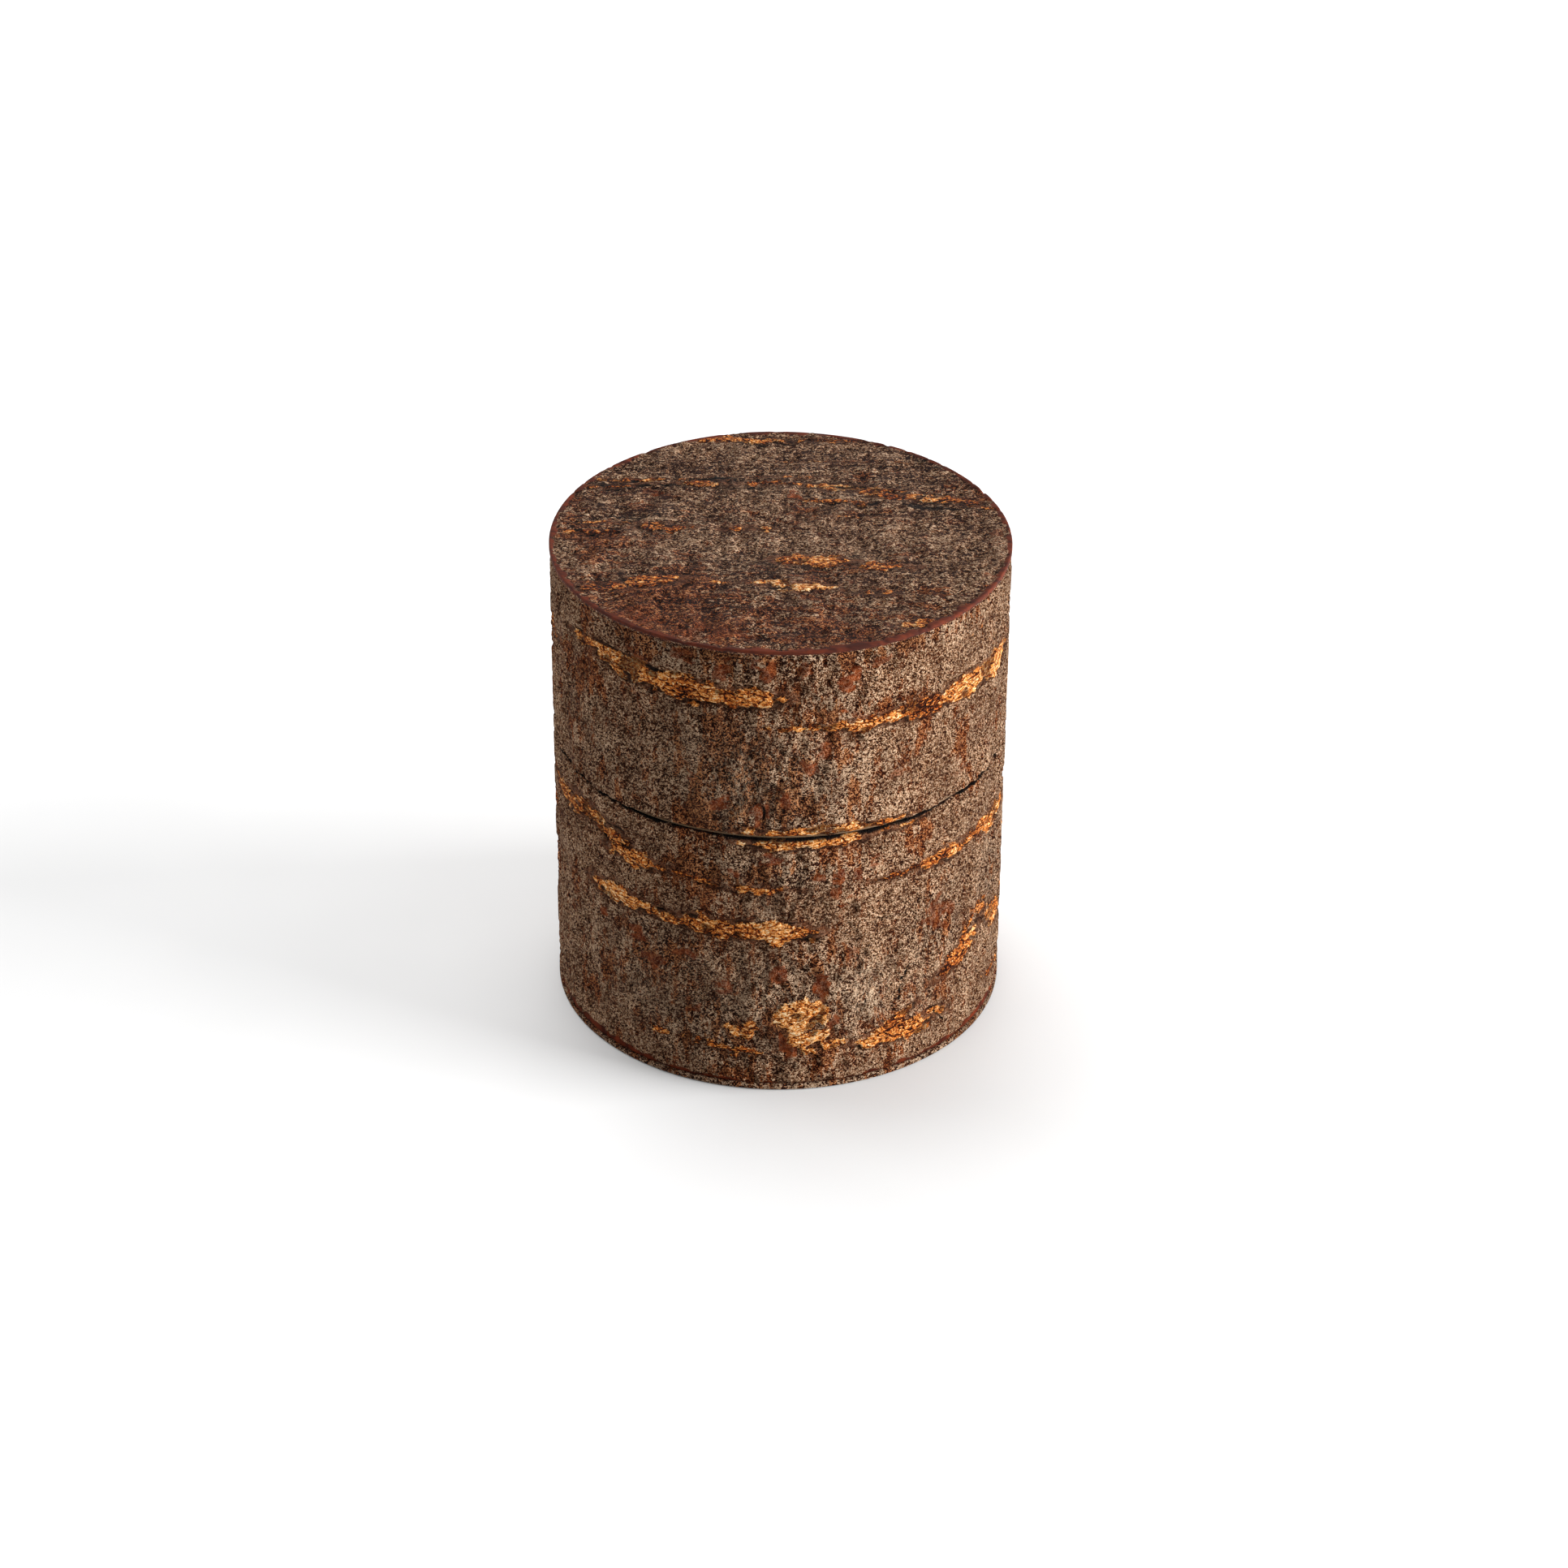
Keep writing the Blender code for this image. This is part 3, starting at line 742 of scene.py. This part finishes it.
class Graph:
    """Short calls for building a material's nodes."""

    def __init__(self, name):
        self.material = bpy.data.materials.new(name)
        self.material.use_nodes = True
        self.tree = self.material.node_tree
        self.shader = self.tree.nodes["Principled BSDF"]

    def put(self, socket, value):
        """Links a socket to another, or sets its value."""
        if isinstance(value, bpy.types.NodeSocket):
            self.tree.links.new(value, socket)
        elif isinstance(value, tuple) and len(value) == 3 and socket.type == "RGBA":
            socket.default_value = (*value, 1.0)
        else:
            socket.default_value = value

    def node(self, kind, inputs=None, **settings):
        node = self.tree.nodes.new(kind)
        for key, value in settings.items():
            setattr(node, key, value)
        for key, value in (inputs or {}).items():
            self.put(node.inputs[key], value)
        return node

    def mask(self, name):
        return self.node("ShaderNodeAttribute", attribute_name=name).outputs["Fac"]

    def points(self, scale):
        """Object coordinates scaled per millimetre."""
        where = self.node("ShaderNodeTexCoord").outputs["Object"]
        scaled = tuple(factor / MM for factor in scale)
        return self.node("ShaderNodeMapping", {"Vector": where, "Scale": scaled}).outputs["Vector"]

    def noise(self, vector, detail=2.0, roughness=0.5, distortion=0.0, scale=1.0):
        inputs = {"Vector": vector, "Scale": scale, "Detail": detail, "Roughness": roughness,
                  "Distortion": distortion}
        return self.node("ShaderNodeTexNoise", inputs).outputs["Fac"]

    def cells(self, vector, feature, scale=1.0):
        inputs = {"Vector": vector, "Scale": scale}
        return self.node("ShaderNodeTexVoronoi", inputs, feature=feature).outputs["Distance"]

    def math(self, operation, first, second=0.0, third=0.0, clamp=False):
        node = self.node("ShaderNodeMath", operation=operation, use_clamp=clamp)
        for number, value in enumerate((first, second, third)):
            self.put(node.inputs[number], value)
        return node.outputs[0]

    def add(self, first, second):
        return self.math("ADD", first, second)

    def less(self, first, second):
        return self.math("SUBTRACT", first, second)

    def times(self, first, second, clamp=False):
        return self.math("MULTIPLY", first, second, clamp=clamp)

    def most(self, first, second):
        return self.math("MAXIMUM", first, second)

    def span(self, value, low, high, to_low=0.0, to_high=1.0):
        inputs = {"Value": value, "From Min": low, "From Max": high, "To Min": to_low, "To Max": to_high}
        node = self.node("ShaderNodeMapRange", inputs, interpolation_type="SMOOTHSTEP")
        return node.outputs["Result"]

    def warp(self, vector, amount, scale):
        """Points pushed about by a noise, so that what is drawn on them curls."""
        push = self.node("ShaderNodeTexNoise", {"Vector": vector, "Scale": scale, "Detail": 2.0})
        inputs = {0: push.outputs["Color"], 1: (0.5, 0.5, 0.5)}
        centred = self.node("ShaderNodeVectorMath", inputs, operation="SUBTRACT")
        scaled = self.node("ShaderNodeVectorMath", {0: centred.outputs["Vector"]}, operation="SCALE")
        scaled.inputs["Scale"].default_value = 2.0 * amount
        moved = self.node("ShaderNodeVectorMath", {0: vector, 1: scaled.outputs["Vector"]}, operation="ADD")
        return moved.outputs["Vector"]

    def ridge(self, value, width):
        """1 where a noise crosses its middle value, 0 beyond width on either side."""
        away = self.math("ABSOLUTE", self.less(value, 0.5))
        return self.span(away, width, 0.0)

    def mix(self, factor, first, second):
        """A colour between two; the numbers are the node's colour sockets."""
        return self.node("ShaderNodeMix", {0: factor, 6: first, 7: second}, data_type="RGBA").outputs[2]

    def ramp(self, factor, stops):
        node = self.node("ShaderNodeValToRGB", {"Fac": factor})
        elements = node.color_ramp.elements
        while len(elements) < len(stops):
            elements.new(0.5)
        for element, (position, colour) in zip(elements, stops):
            element.position = position
            element.color = (*colour, 1.0)
        return node.outputs["Color"]

    def bump(self, height, distance):
        inputs = {"Height": height, "Distance": distance * MM}
        return self.node("ShaderNodeBump", inputs).outputs["Normal"]


def rough_bark(name, trunk_axis, line_share, line_width, contrast, bared_and_painted_relief_contrast, specular):
    """Weathered cherry bark with lenticels; the grain runs round trunk_axis, with line_share of lines."""
    g = Graph(name)
    if trunk_axis == "Z":
        across, along, thread = (0.42, 0.42, 1.0), (1.0, 1.0, 0.28), (1.0, 1.0, 0.42)
        flat, run, speck = (0.6, 0.6, 1.0), (0.05, 0.05, 1.1), (0.85, 0.85, 1.0)
    else:
        across, along, thread = (0.42, 1.0, 1.0), (0.3, 1.0, 1.0), (0.42, 1.0, 1.0)
        flat, run, speck = (0.38, 1.0, 1.0), (0.045, 1.0, 1.0), (0.62, 1.0, 1.0)
    plain = g.points((1.0, 1.0, 1.0))

    short = g.points(speck)
    dust = g.noise(short, detail=1.0, roughness=0.6, scale=5.6)
    fine = g.noise(short, roughness=0.7, scale=3.2)
    grains = g.noise(short, roughness=0.7, scale=1.6)
    clumps = g.noise(g.points(flat), roughness=0.6, scale=0.9)
    streaks = g.noise(g.points(along), detail=3.0, roughness=0.65, scale=0.6)
    blotches = g.noise(plain, detail=3.0, roughness=0.6, scale=0.16)

    # Short felted strokes of the weathered skin, light on the crests and dark between.
    long_strokes = g.ridge(g.noise(g.points(thread), detail=1.0, distortion=1.5, scale=1.15), 0.06)
    bent_strokes = g.ridge(g.noise(plain, detail=1.0, distortion=2.0, scale=0.95), 0.045)
    small_strokes = g.ridge(g.noise(short, detail=1.0, distortion=1.6, scale=2.4), 0.09)
    gaps = g.ridge(g.noise(g.points(flat), detail=1.0, distortion=2.2, scale=1.5), 0.06)
    strokes = g.most(long_strokes, g.times(bent_strokes, 0.9))
    strokes = g.most(strokes, g.times(small_strokes, 0.75))
    strokes = g.times(strokes, g.span(grains, 0.34, 0.58, 0.35, 1.0))

    # How high each point stands, 0 in the gaps to 1 on the crests; the colour follows it.
    level = g.span(grains, 0.28, 0.72, 0.08, 0.48)
    level = g.add(level, g.times(strokes, 0.42))
    level = g.less(level, g.times(gaps, 0.34))
    for source, lowest, highest in ((clumps, -0.06, 0.09), (fine, -0.34, 0.34), (dust, -0.32, 0.32)):
        level = g.add(level, g.span(source, 0.3, 0.7, lowest, highest))
    level = g.less(level, g.span(g.mask("pits"), 0.0, 1.0, 0.0, 0.08))
    for name_of_mask, amount in (("lumps", 0.04), ("streak", 0.05)):
        level = g.add(level, g.span(g.mask(name_of_mask), -1.6, 1.6, -amount, amount))
    level = g.add(level, g.times(g.mask("vein"), 0.3))

    # Painted shade and highlight: in the bared regions the colour contrast rises to its second value, which
    # on the side stands in for the low light grazing the relief.
    spread = g.span(g.mask("bared_and_painted_light"), 0.0, 0.5, contrast, bared_and_painted_relief_contrast)
    level = g.math("MULTIPLY_ADD", g.less(level, MID_LEVEL), spread, MID_LEVEL)

    # Fine dark lines along the grain.
    lined = g.add(g.mask("lined"), line_share)
    long_lines = g.noise(g.points(run), roughness=0.6, distortion=0.3)
    long_lines = g.ridge(long_lines, line_width)
    lining = g.times(long_lines, g.span(g.add(lined, g.span(clumps, 0.3, 0.7, -0.3, 0.3)), 0.1, 0.8))
    level = g.less(level, g.times(lining, 0.62))

    weathered = g.ramp(level, [
        (0.0, (0.024, 0.005, 0.002)),
        (0.16, (0.125, 0.036, 0.011)),
        (0.34, (0.27, 0.11, 0.046)),
        (0.52, (0.44, 0.218, 0.108)),
        (0.72, (0.64, 0.38, 0.215)),
        (0.95, (0.86, 0.6, 0.4)),
    ])
    rusty = g.ramp(level, [
        (0.0, (0.018, 0.003, 0.001)),
        (0.18, (0.095, 0.015, 0.003)),
        (0.4, (0.235, 0.044, 0.008)),
        (0.64, (0.43, 0.11, 0.022)),
        (0.95, (0.72, 0.33, 0.14)),
    ])
    # The bared mask carries real wear, and also painted shade at the front of the top and a painted sheen at
    # its back.
    rust = g.add(g.mask("bared_and_painted_light"), g.span(g.mask("mottle"), 0.0, 2.4, -0.1, 0.5))
    rust = g.add(rust, g.span(streaks, 0.4, 0.64, -0.24, 0.46))
    rust = g.add(rust, g.span(grains, 0.36, 0.64, 0.14, -0.14))
    bared_and_painted_light = g.mix(g.span(rust, 0.2, 0.54), weathered, rusty)
    blotched = g.mix(g.span(blotches, 0.42, 0.64, 0.0, 0.3), bared_and_painted_light, (0.08, 0.028, 0.012))
    patch = g.add(g.mask("rust"), g.span(fine, 0.35, 0.65, -0.15, 0.15))
    patch_colour = g.mix(g.span(clumps, 0.35, 0.65), (0.16, 0.022, 0.004), (0.43, 0.09, 0.018))
    face = g.mix(g.span(patch, 0.25, 0.8, 0.0, 0.75), blotched, patch_colour)

    # Pale wandering fibres.
    fibres = g.ridge(g.noise(g.points(along), distortion=1.8, scale=0.8), 0.032)
    fibres = g.most(fibres, g.times(bent_strokes, 0.35))
    pale = g.times(g.times(fibres, g.mask("pale")), g.span(fine, 0.35, 0.55), clamp=True)
    pale = g.most(pale, g.times(g.mask("vein"), g.span(fine, 0.35, 0.6, 0.0, 0.7)))
    whitened = g.mix(pale, face, (0.82, 0.62, 0.43))

    # Lenticels: torn corky strands from dark brown through orange to cream, in a smooth red-brown rim.
    edge = g.span(fine, 0.35, 0.65, -0.25, 0.25)
    rim = g.add(g.mask("rim"), edge)
    lines = g.noise(g.points(across), detail=3.0, roughness=0.6, scale=1.6)
    rim_colour = g.mix(g.span(lines, 0.38, 0.6), (0.05, 0.012, 0.005), (0.26, 0.095, 0.042))
    rimmed = g.mix(g.span(rim, 0.3, 0.75, 0.0, 0.75), whitened, rim_colour)
    strands = g.noise(g.points(across), detail=4.0, roughness=0.7, distortion=2.4, scale=1.6)
    curls = g.noise(plain, roughness=0.6, distortion=2.0, scale=0.9)
    shells = g.cells(g.warp(g.points(across), 0.9, 0.7), "F1", scale=0.8)
    turns = g.add(g.times(shells, 15.0), g.times(strands, 12.0))
    loops = g.times(g.math("SINE", turns), g.span(curls, 0.38, 0.6, 0.03, 0.15))
    net = g.cells(g.warp(g.points(across), 0.9, 0.8), "DISTANCE_TO_EDGE", scale=1.05)
    swirl = g.add(strands, loops)
    swirl = g.add(swirl, g.span(curls, 0.3, 0.7, -0.12, 0.12))
    swirl = g.add(swirl, g.span(net, 0.01, 0.14, -0.26, 0.06))
    frayed = g.add(swirl, g.span(fine, 0.3, 0.7, -0.16, 0.16))
    fleshed = g.add(frayed, g.span(g.mask("tone"), 0.0, 1.0, -0.2, 0.2))
    cork = g.ramp(fleshed, [
        (0.22, (0.014, 0.003, 0.001)),
        (0.37, (0.16, 0.028, 0.005)),
        (0.49, (0.43, 0.098, 0.015)),
        (0.62, (0.74, 0.245, 0.042)),
        (0.77, (0.88, 0.43, 0.135)),
        (0.95, (0.95, 0.7, 0.42)),
    ])
    hollowed = g.mix(g.span(g.mask("hollow"), 0.2, 0.9, 0.0, 0.7), cork, (0.03, 0.008, 0.003))
    lens_edge = g.add(g.mask("lenticel"), edge)
    corked = g.mix(g.span(lens_edge, 0.35, 0.65), rimmed, hollowed)
    # Painted shadow: near black in the groove under each lenticel, where its raised edge would cast shade.
    shaded = g.mix(g.span(g.mask("groove_with_painted_shadow"), 0.3, 1.0, 0.0, 0.7), corked, (0.012, 0.005, 0.003))
    cracked = g.mix(g.span(g.mask("dark"), 0.25, 0.7), shaded, (0.006, 0.003, 0.002))

    # Sanded and polished edges show the dark red inner bark.
    polish = g.add(g.mask("polish"), g.span(fine, 0.35, 0.65, -0.12, 0.12))
    inner_bark = g.mix(g.span(streaks, 0.35, 0.65), (0.03, 0.005, 0.002), (0.092, 0.015, 0.004))
    polished = g.mix(g.span(polish, 0.25, 0.75), cracked, inner_bark)
    g.put(g.shader.inputs["Base Color"], polished)

    g.put(g.shader.inputs["Roughness"], g.span(polish, 0.25, 0.75, 0.8, 0.88))
    g.shader.inputs["Specular IOR Level"].default_value = specular

    height = g.mix(g.span(lens_edge, 0.35, 0.65), level, frayed)
    levelled = g.mix(g.span(polish, 0.2, 0.7), height, (0.5, 0.5, 0.5))
    g.put(g.shader.inputs["Normal"], g.bump(levelled, BARK_BUMP))
    return g.material


def polished_bark(name, dash_scale):
    """Scraped and polished cherry bark: dark red-brown with long fine lenticels."""
    g = Graph(name)
    dash_points = g.points(dash_scale)
    line_points = g.points(tuple(2.6 * factor for factor in dash_scale))
    dashes = g.noise(dash_points, detail=1.5, roughness=0.4, distortion=0.3)
    lines = g.noise(line_points, roughness=0.6)
    cloud = g.noise(g.points((0.07, 0.07, 0.1)), detail=3.0, roughness=0.6)
    fine = g.noise(g.points((1.4, 1.4, 1.4)), detail=3.0, roughness=0.7)
    base = g.ramp(cloud, [
        (0.32, (0.052, 0.011, 0.005)),
        (0.52, (0.105, 0.026, 0.01)),
        (0.7, (0.17, 0.05, 0.018)),
    ])
    lined = g.mix(g.span(lines, 0.52, 0.7, 0.0, 0.55), base, (0.036, 0.007, 0.003))
    grained = g.mix(g.span(fine, 0.35, 0.7, 0.0, 0.3), lined, (0.04, 0.009, 0.004))
    haloed = g.mix(g.span(dashes, 0.62, 0.68, 0.0, 0.8), grained, (0.06, 0.016, 0.007))
    dashed = g.mix(g.span(dashes, 0.675, 0.72, 0.0, 0.9), haloed, (0.3, 0.15, 0.07))
    g.put(g.shader.inputs["Base Color"], dashed)
    rough = g.add(g.span(fine, 0.3, 0.7, 0.24, 0.36), g.span(dashes, 0.64, 0.7, 0.0, 0.25))
    g.put(g.shader.inputs["Roughness"], rough)
    g.shader.inputs["Specular IOR Level"].default_value = 0.45
    height = g.add(g.times(fine, 0.4), g.span(dashes, 0.62, 0.72))
    g.put(g.shader.inputs["Normal"], g.bump(g.add(height, lines), 0.05))
    return g.material


def bare_wood(name, light, dark, scale):
    """Bare satin wood with its grain along the small component of scale."""
    g = Graph(name)
    rings = g.noise(g.points(scale), detail=4.0, roughness=0.6, distortion=0.4)
    pores = g.noise(g.points(tuple(4.0 * factor for factor in scale)), roughness=0.7)
    colour = g.mix(g.span(rings, 0.35, 0.65), light, dark)
    pored = g.mix(g.span(pores, 0.6, 0.72, 0.0, 0.6), colour, tuple(0.45 * part for part in dark))
    g.put(g.shader.inputs["Base Color"], pored)
    g.put(g.shader.inputs["Roughness"], g.span(rings, 0.3, 0.7, 0.52, 0.66))
    g.put(g.shader.inputs["Normal"], g.bump(g.add(rings, pores), 0.04))
    return g.material


def add_area_light(name, azimuth, elevation, distance, size, power):
    """A square soft white light aimed at the caddy; azimuth is degrees right of the front."""
    turn, rise = math.radians(azimuth), math.radians(elevation)
    flat = math.cos(rise)
    direction = Vector((math.sin(turn) * flat, -math.cos(turn) * flat, math.sin(rise)))
    data = bpy.data.lights.new(name, "AREA")
    data.shape = "SQUARE"
    data.size = size
    data.energy = power
    light = bpy.data.objects.new(name, data)
    light.location = LIGHT_TARGET + direction * distance
    light.rotation_mode = "QUATERNION"
    light.rotation_quaternion = direction.to_track_quat("Z", "Y")
    bpy.context.scene.collection.objects.link(light)


def build_studio():
    """Pale floor, a low soft light from the right, weaker ones above and on the left, and the camera."""
    scene = bpy.context.scene
    world = bpy.data.worlds.new("studio")
    world.use_nodes = True
    background = world.node_tree.nodes["Background"]
    background.inputs["Color"].default_value = (1.0, 1.0, 1.0, 1.0)
    background.inputs["Strength"].default_value = WORLD_STRENGTH
    scene.world = world
    scene.view_settings.view_transform = "Standard"

    bpy.ops.mesh.primitive_plane_add(size=FLOOR_SIZE, location=(0.0, 0.0, -FLOOR_DROP))
    floor = bpy.context.object
    floor.name = "floor"
    g = Graph("floor_paper")
    paper = g.noise(g.points((0.02, 0.02, 0.02)))
    tint = g.mix(g.span(paper, 0.3, 0.7), (0.69, 0.69, 0.69), (0.71, 0.71, 0.71))
    g.put(g.shader.inputs["Base Color"], tint)
    g.shader.inputs["Roughness"].default_value = 0.9
    g.shader.inputs["Specular IOR Level"].default_value = 0.1
    floor.data.materials.append(g.material)

    for name, placing in LIGHTS.items():
        add_area_light(name, *placing)

    camera_data = bpy.data.cameras.new("camera")
    camera_data.lens = CAMERA_LENS
    camera_data.sensor_width = SENSOR_WIDTH
    camera_data.clip_start = 0.01
    camera_data.clip_end = 50.0
    camera = bpy.data.objects.new("camera", camera_data)
    tilt = Matrix.Rotation(math.radians(90.0 - CAMERA_ELEVATION), 4, "X")
    roll = Matrix.Rotation(math.radians(CAMERA_ROLL), 4, "Z")
    camera.matrix_world = tilt @ roll @ Matrix.Translation(CAMERA_OFFSET)
    scene.collection.objects.link(camera)
    scene.camera = camera


def build_bark():
    """Rough bark sleeves of lid and body, the rough top disc and the foot."""
    circumference = 360.0 * MM_PER_DEGREE
    side_sheet = BarkSheet(circumference, SIDE_SHEET_HEIGHT, SEED)
    top_sheet = BarkSheet(TOP_SHEET_SIZE, TOP_SHEET_SIZE, SEED + 1)
    rng = np.random.default_rng(SEED + 2)
    lenticels = SIDE_LENTICELS + back_lenticels(rng)
    side_features = tuple(
        [(angle * MM_PER_DEGREE, *rest) for angle, *rest in patches]
        for patches in (lenticels, SIDE_RUST, SIDE_PALE, SIDE_BARED_AND_PAINTED_RELIEF, SIDE_FURROWED))
    # On the side, 2.3 is the colour contrast in the bared regions: painted shade and highlight for the
    # relief.
    side_bark = rough_bark("rough_bark_side", "Z", 0.0, 0.03, 1.1, 2.3, 0.05)
    top_bark = rough_bark("rough_bark_top", "Y", 0.3, 0.09, 1.15, 1.15, 0.18)
    lid = sleeve("lid_bark_sleeve", LID_LOW, TOP_LOW, side_sheet, side_features)
    place("lid_bark_sleeve", lid, "lid", side_bark, "rough_bark", "lid_outer_bark")
    body = sleeve("body_bark_sleeve", BASE_HIGH, BODY_HIGH, side_sheet, side_features)
    place("body_bark_sleeve", body, "caddy", side_bark, "rough_bark", "body_outer_bark")
    top = rough_disc("top_bark_disc", TOP_LOW, TOP_HIGH, top_sheet)
    place("top_bark_disc", top, "lid", top_bark, "rough_bark", "lid_top_bark")
    build_foot(side_bark)


def tube(name, node, thickness, body, material, slot, seed):
    """A thin turned tube in place of a CAD tube."""
    low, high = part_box(node)
    outer, bottom, top = high.x / MM, low.z / MM, high.z / MM
    inner = outer - thickness
    corners = [(outer, bottom), (outer, top), (inner, top), (inner, bottom)]
    place(name, turned(name, corners, True, seed), body, material, slot, node)


def disc(name, node, body, material, slot, seed):
    """A thin turned disc in place of a CAD disc."""
    low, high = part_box(node)
    outer, bottom, top = high.x / MM, low.z / MM, high.z / MM
    corners = [(HEART, bottom), (outer, bottom), (outer, top), (HEART, top)]
    return place(name, turned(name, corners, False, seed, bevel=0.1), body, material, slot, node)


def knob_corners():
    """Outline of the mushroom knob, from its neck on the lid to the crown."""
    low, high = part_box("inner_lid_knob")
    radius, bottom, top = high.x / MM, low.z / MM, high.z / MM
    height = top - bottom
    outline = [(0.62, 0.0), (0.66, 0.06), (0.56, 0.18), (0.5, 0.32), (0.58, 0.44), (0.86, 0.54),
               (0.985, 0.64), (1.0, 0.72), (0.96, 0.81), (0.82, 0.9), (0.58, 0.965), (0.3, 0.992)]
    corners = [(radius * across, bottom + height * up) for across, up in outline]
    return [(HEART, bottom), *corners, (HEART, top)]


def build_foot(side_bark):
    """The bottom bark disc: rough at its edge like the sleeve above, sanded smooth underneath."""
    foot = disc("foot_bark", "base_bark", "caddy", side_bark, "smooth_bark", 26)
    points = np.empty(3 * len(foot.data.vertices))
    foot.data.vertices.foreach_get("co", points)
    reach = np.hypot(points[0::3], points[1::3]) / MM
    edge = step(RADIUS - 0.5, RADIUS - 0.15, reach)
    store_masks(foot.data, {"polish": 1.0 - 0.75 * edge, "bared_and_painted_light": 0.35 * edge, "pits": 0.5 * edge})


def build_inside():
    """The neck, linings, inner lid, knob and underside, turned finely, with their finishes."""
    round_bark = polished_bark("polished_bark_round", (0.085, 0.085, 1.1))
    flat_bark = polished_bark("polished_bark_flat", (0.085, 1.0, 1.0))
    veneer = bare_wood("veneer", (0.46, 0.3, 0.17), (0.33, 0.19, 0.1), (0.05, 0.05, 1.6))
    board = bare_wood("board_wood", (0.52, 0.36, 0.22), (0.38, 0.24, 0.13), (0.06, 1.2, 1.2))

    tube("neck_bark", "neck_facing", NECK_FACING_THICKNESS, "caddy", round_bark, "smooth_bark", 21)
    tube("inner_tube", "inner_tube_core", INNER_CORE_THICKNESS, "caddy", veneer, "veneer", 22)
    tube("inner_lining", "inner_tube_lining", LINING_THICKNESS, "caddy", round_bark, "smooth_bark", 23)
    tube("body_veneer", "body_core_tube", BODY_CORE_THICKNESS, "caddy", veneer, "veneer", 24)
    disc("floor_lining", "floor_bark", "caddy", flat_bark, "smooth_bark", 25)
    disc("foot_board", "base_board", "caddy", board, "board_wood", 27)
    tube("lid_veneer", "lid_core_tube", LID_CORE_THICKNESS, "lid", veneer, "veneer", 28)
    tube("lid_inner_bark", "lid_lining", LINING_THICKNESS, "lid", round_bark, "smooth_bark", 29)
    disc("lid_ceiling", "lid_ceiling_bark", "lid", flat_bark, "smooth_bark", 30)
    tube("inner_lid_edge", "inner_lid_edge_band", LINING_THICKNESS, "inner_lid", round_bark,
         "smooth_bark", 31)
    disc("inner_lid_under", "inner_lid_underside_bark", "inner_lid", flat_bark, "smooth_bark", 32)
    disc("inner_lid_face", "inner_lid_top_bark", "inner_lid", flat_bark, "smooth_bark", 33)
    knob = turned("knob", knob_corners(), False, 34, bevel=0.25, pitch=0.4, waver=0.02)
    place("knob", knob, "inner_lid", flat_bark, "smooth_bark", "inner_lid_knob")

    finishes = {"veneer": veneer, "board_wood": board}
    slots = {part["node"]: part["material_slot"] for part in frame["record"]["subparts"]}
    for name in ("lid_top_board", "inner_lid_board", "knob_peg"):
        node = frame["nodes"][name]
        node.data.materials.clear()
        node.data.materials.append(finishes[slots[name]])


build_studio()
build_bark()
build_inside()
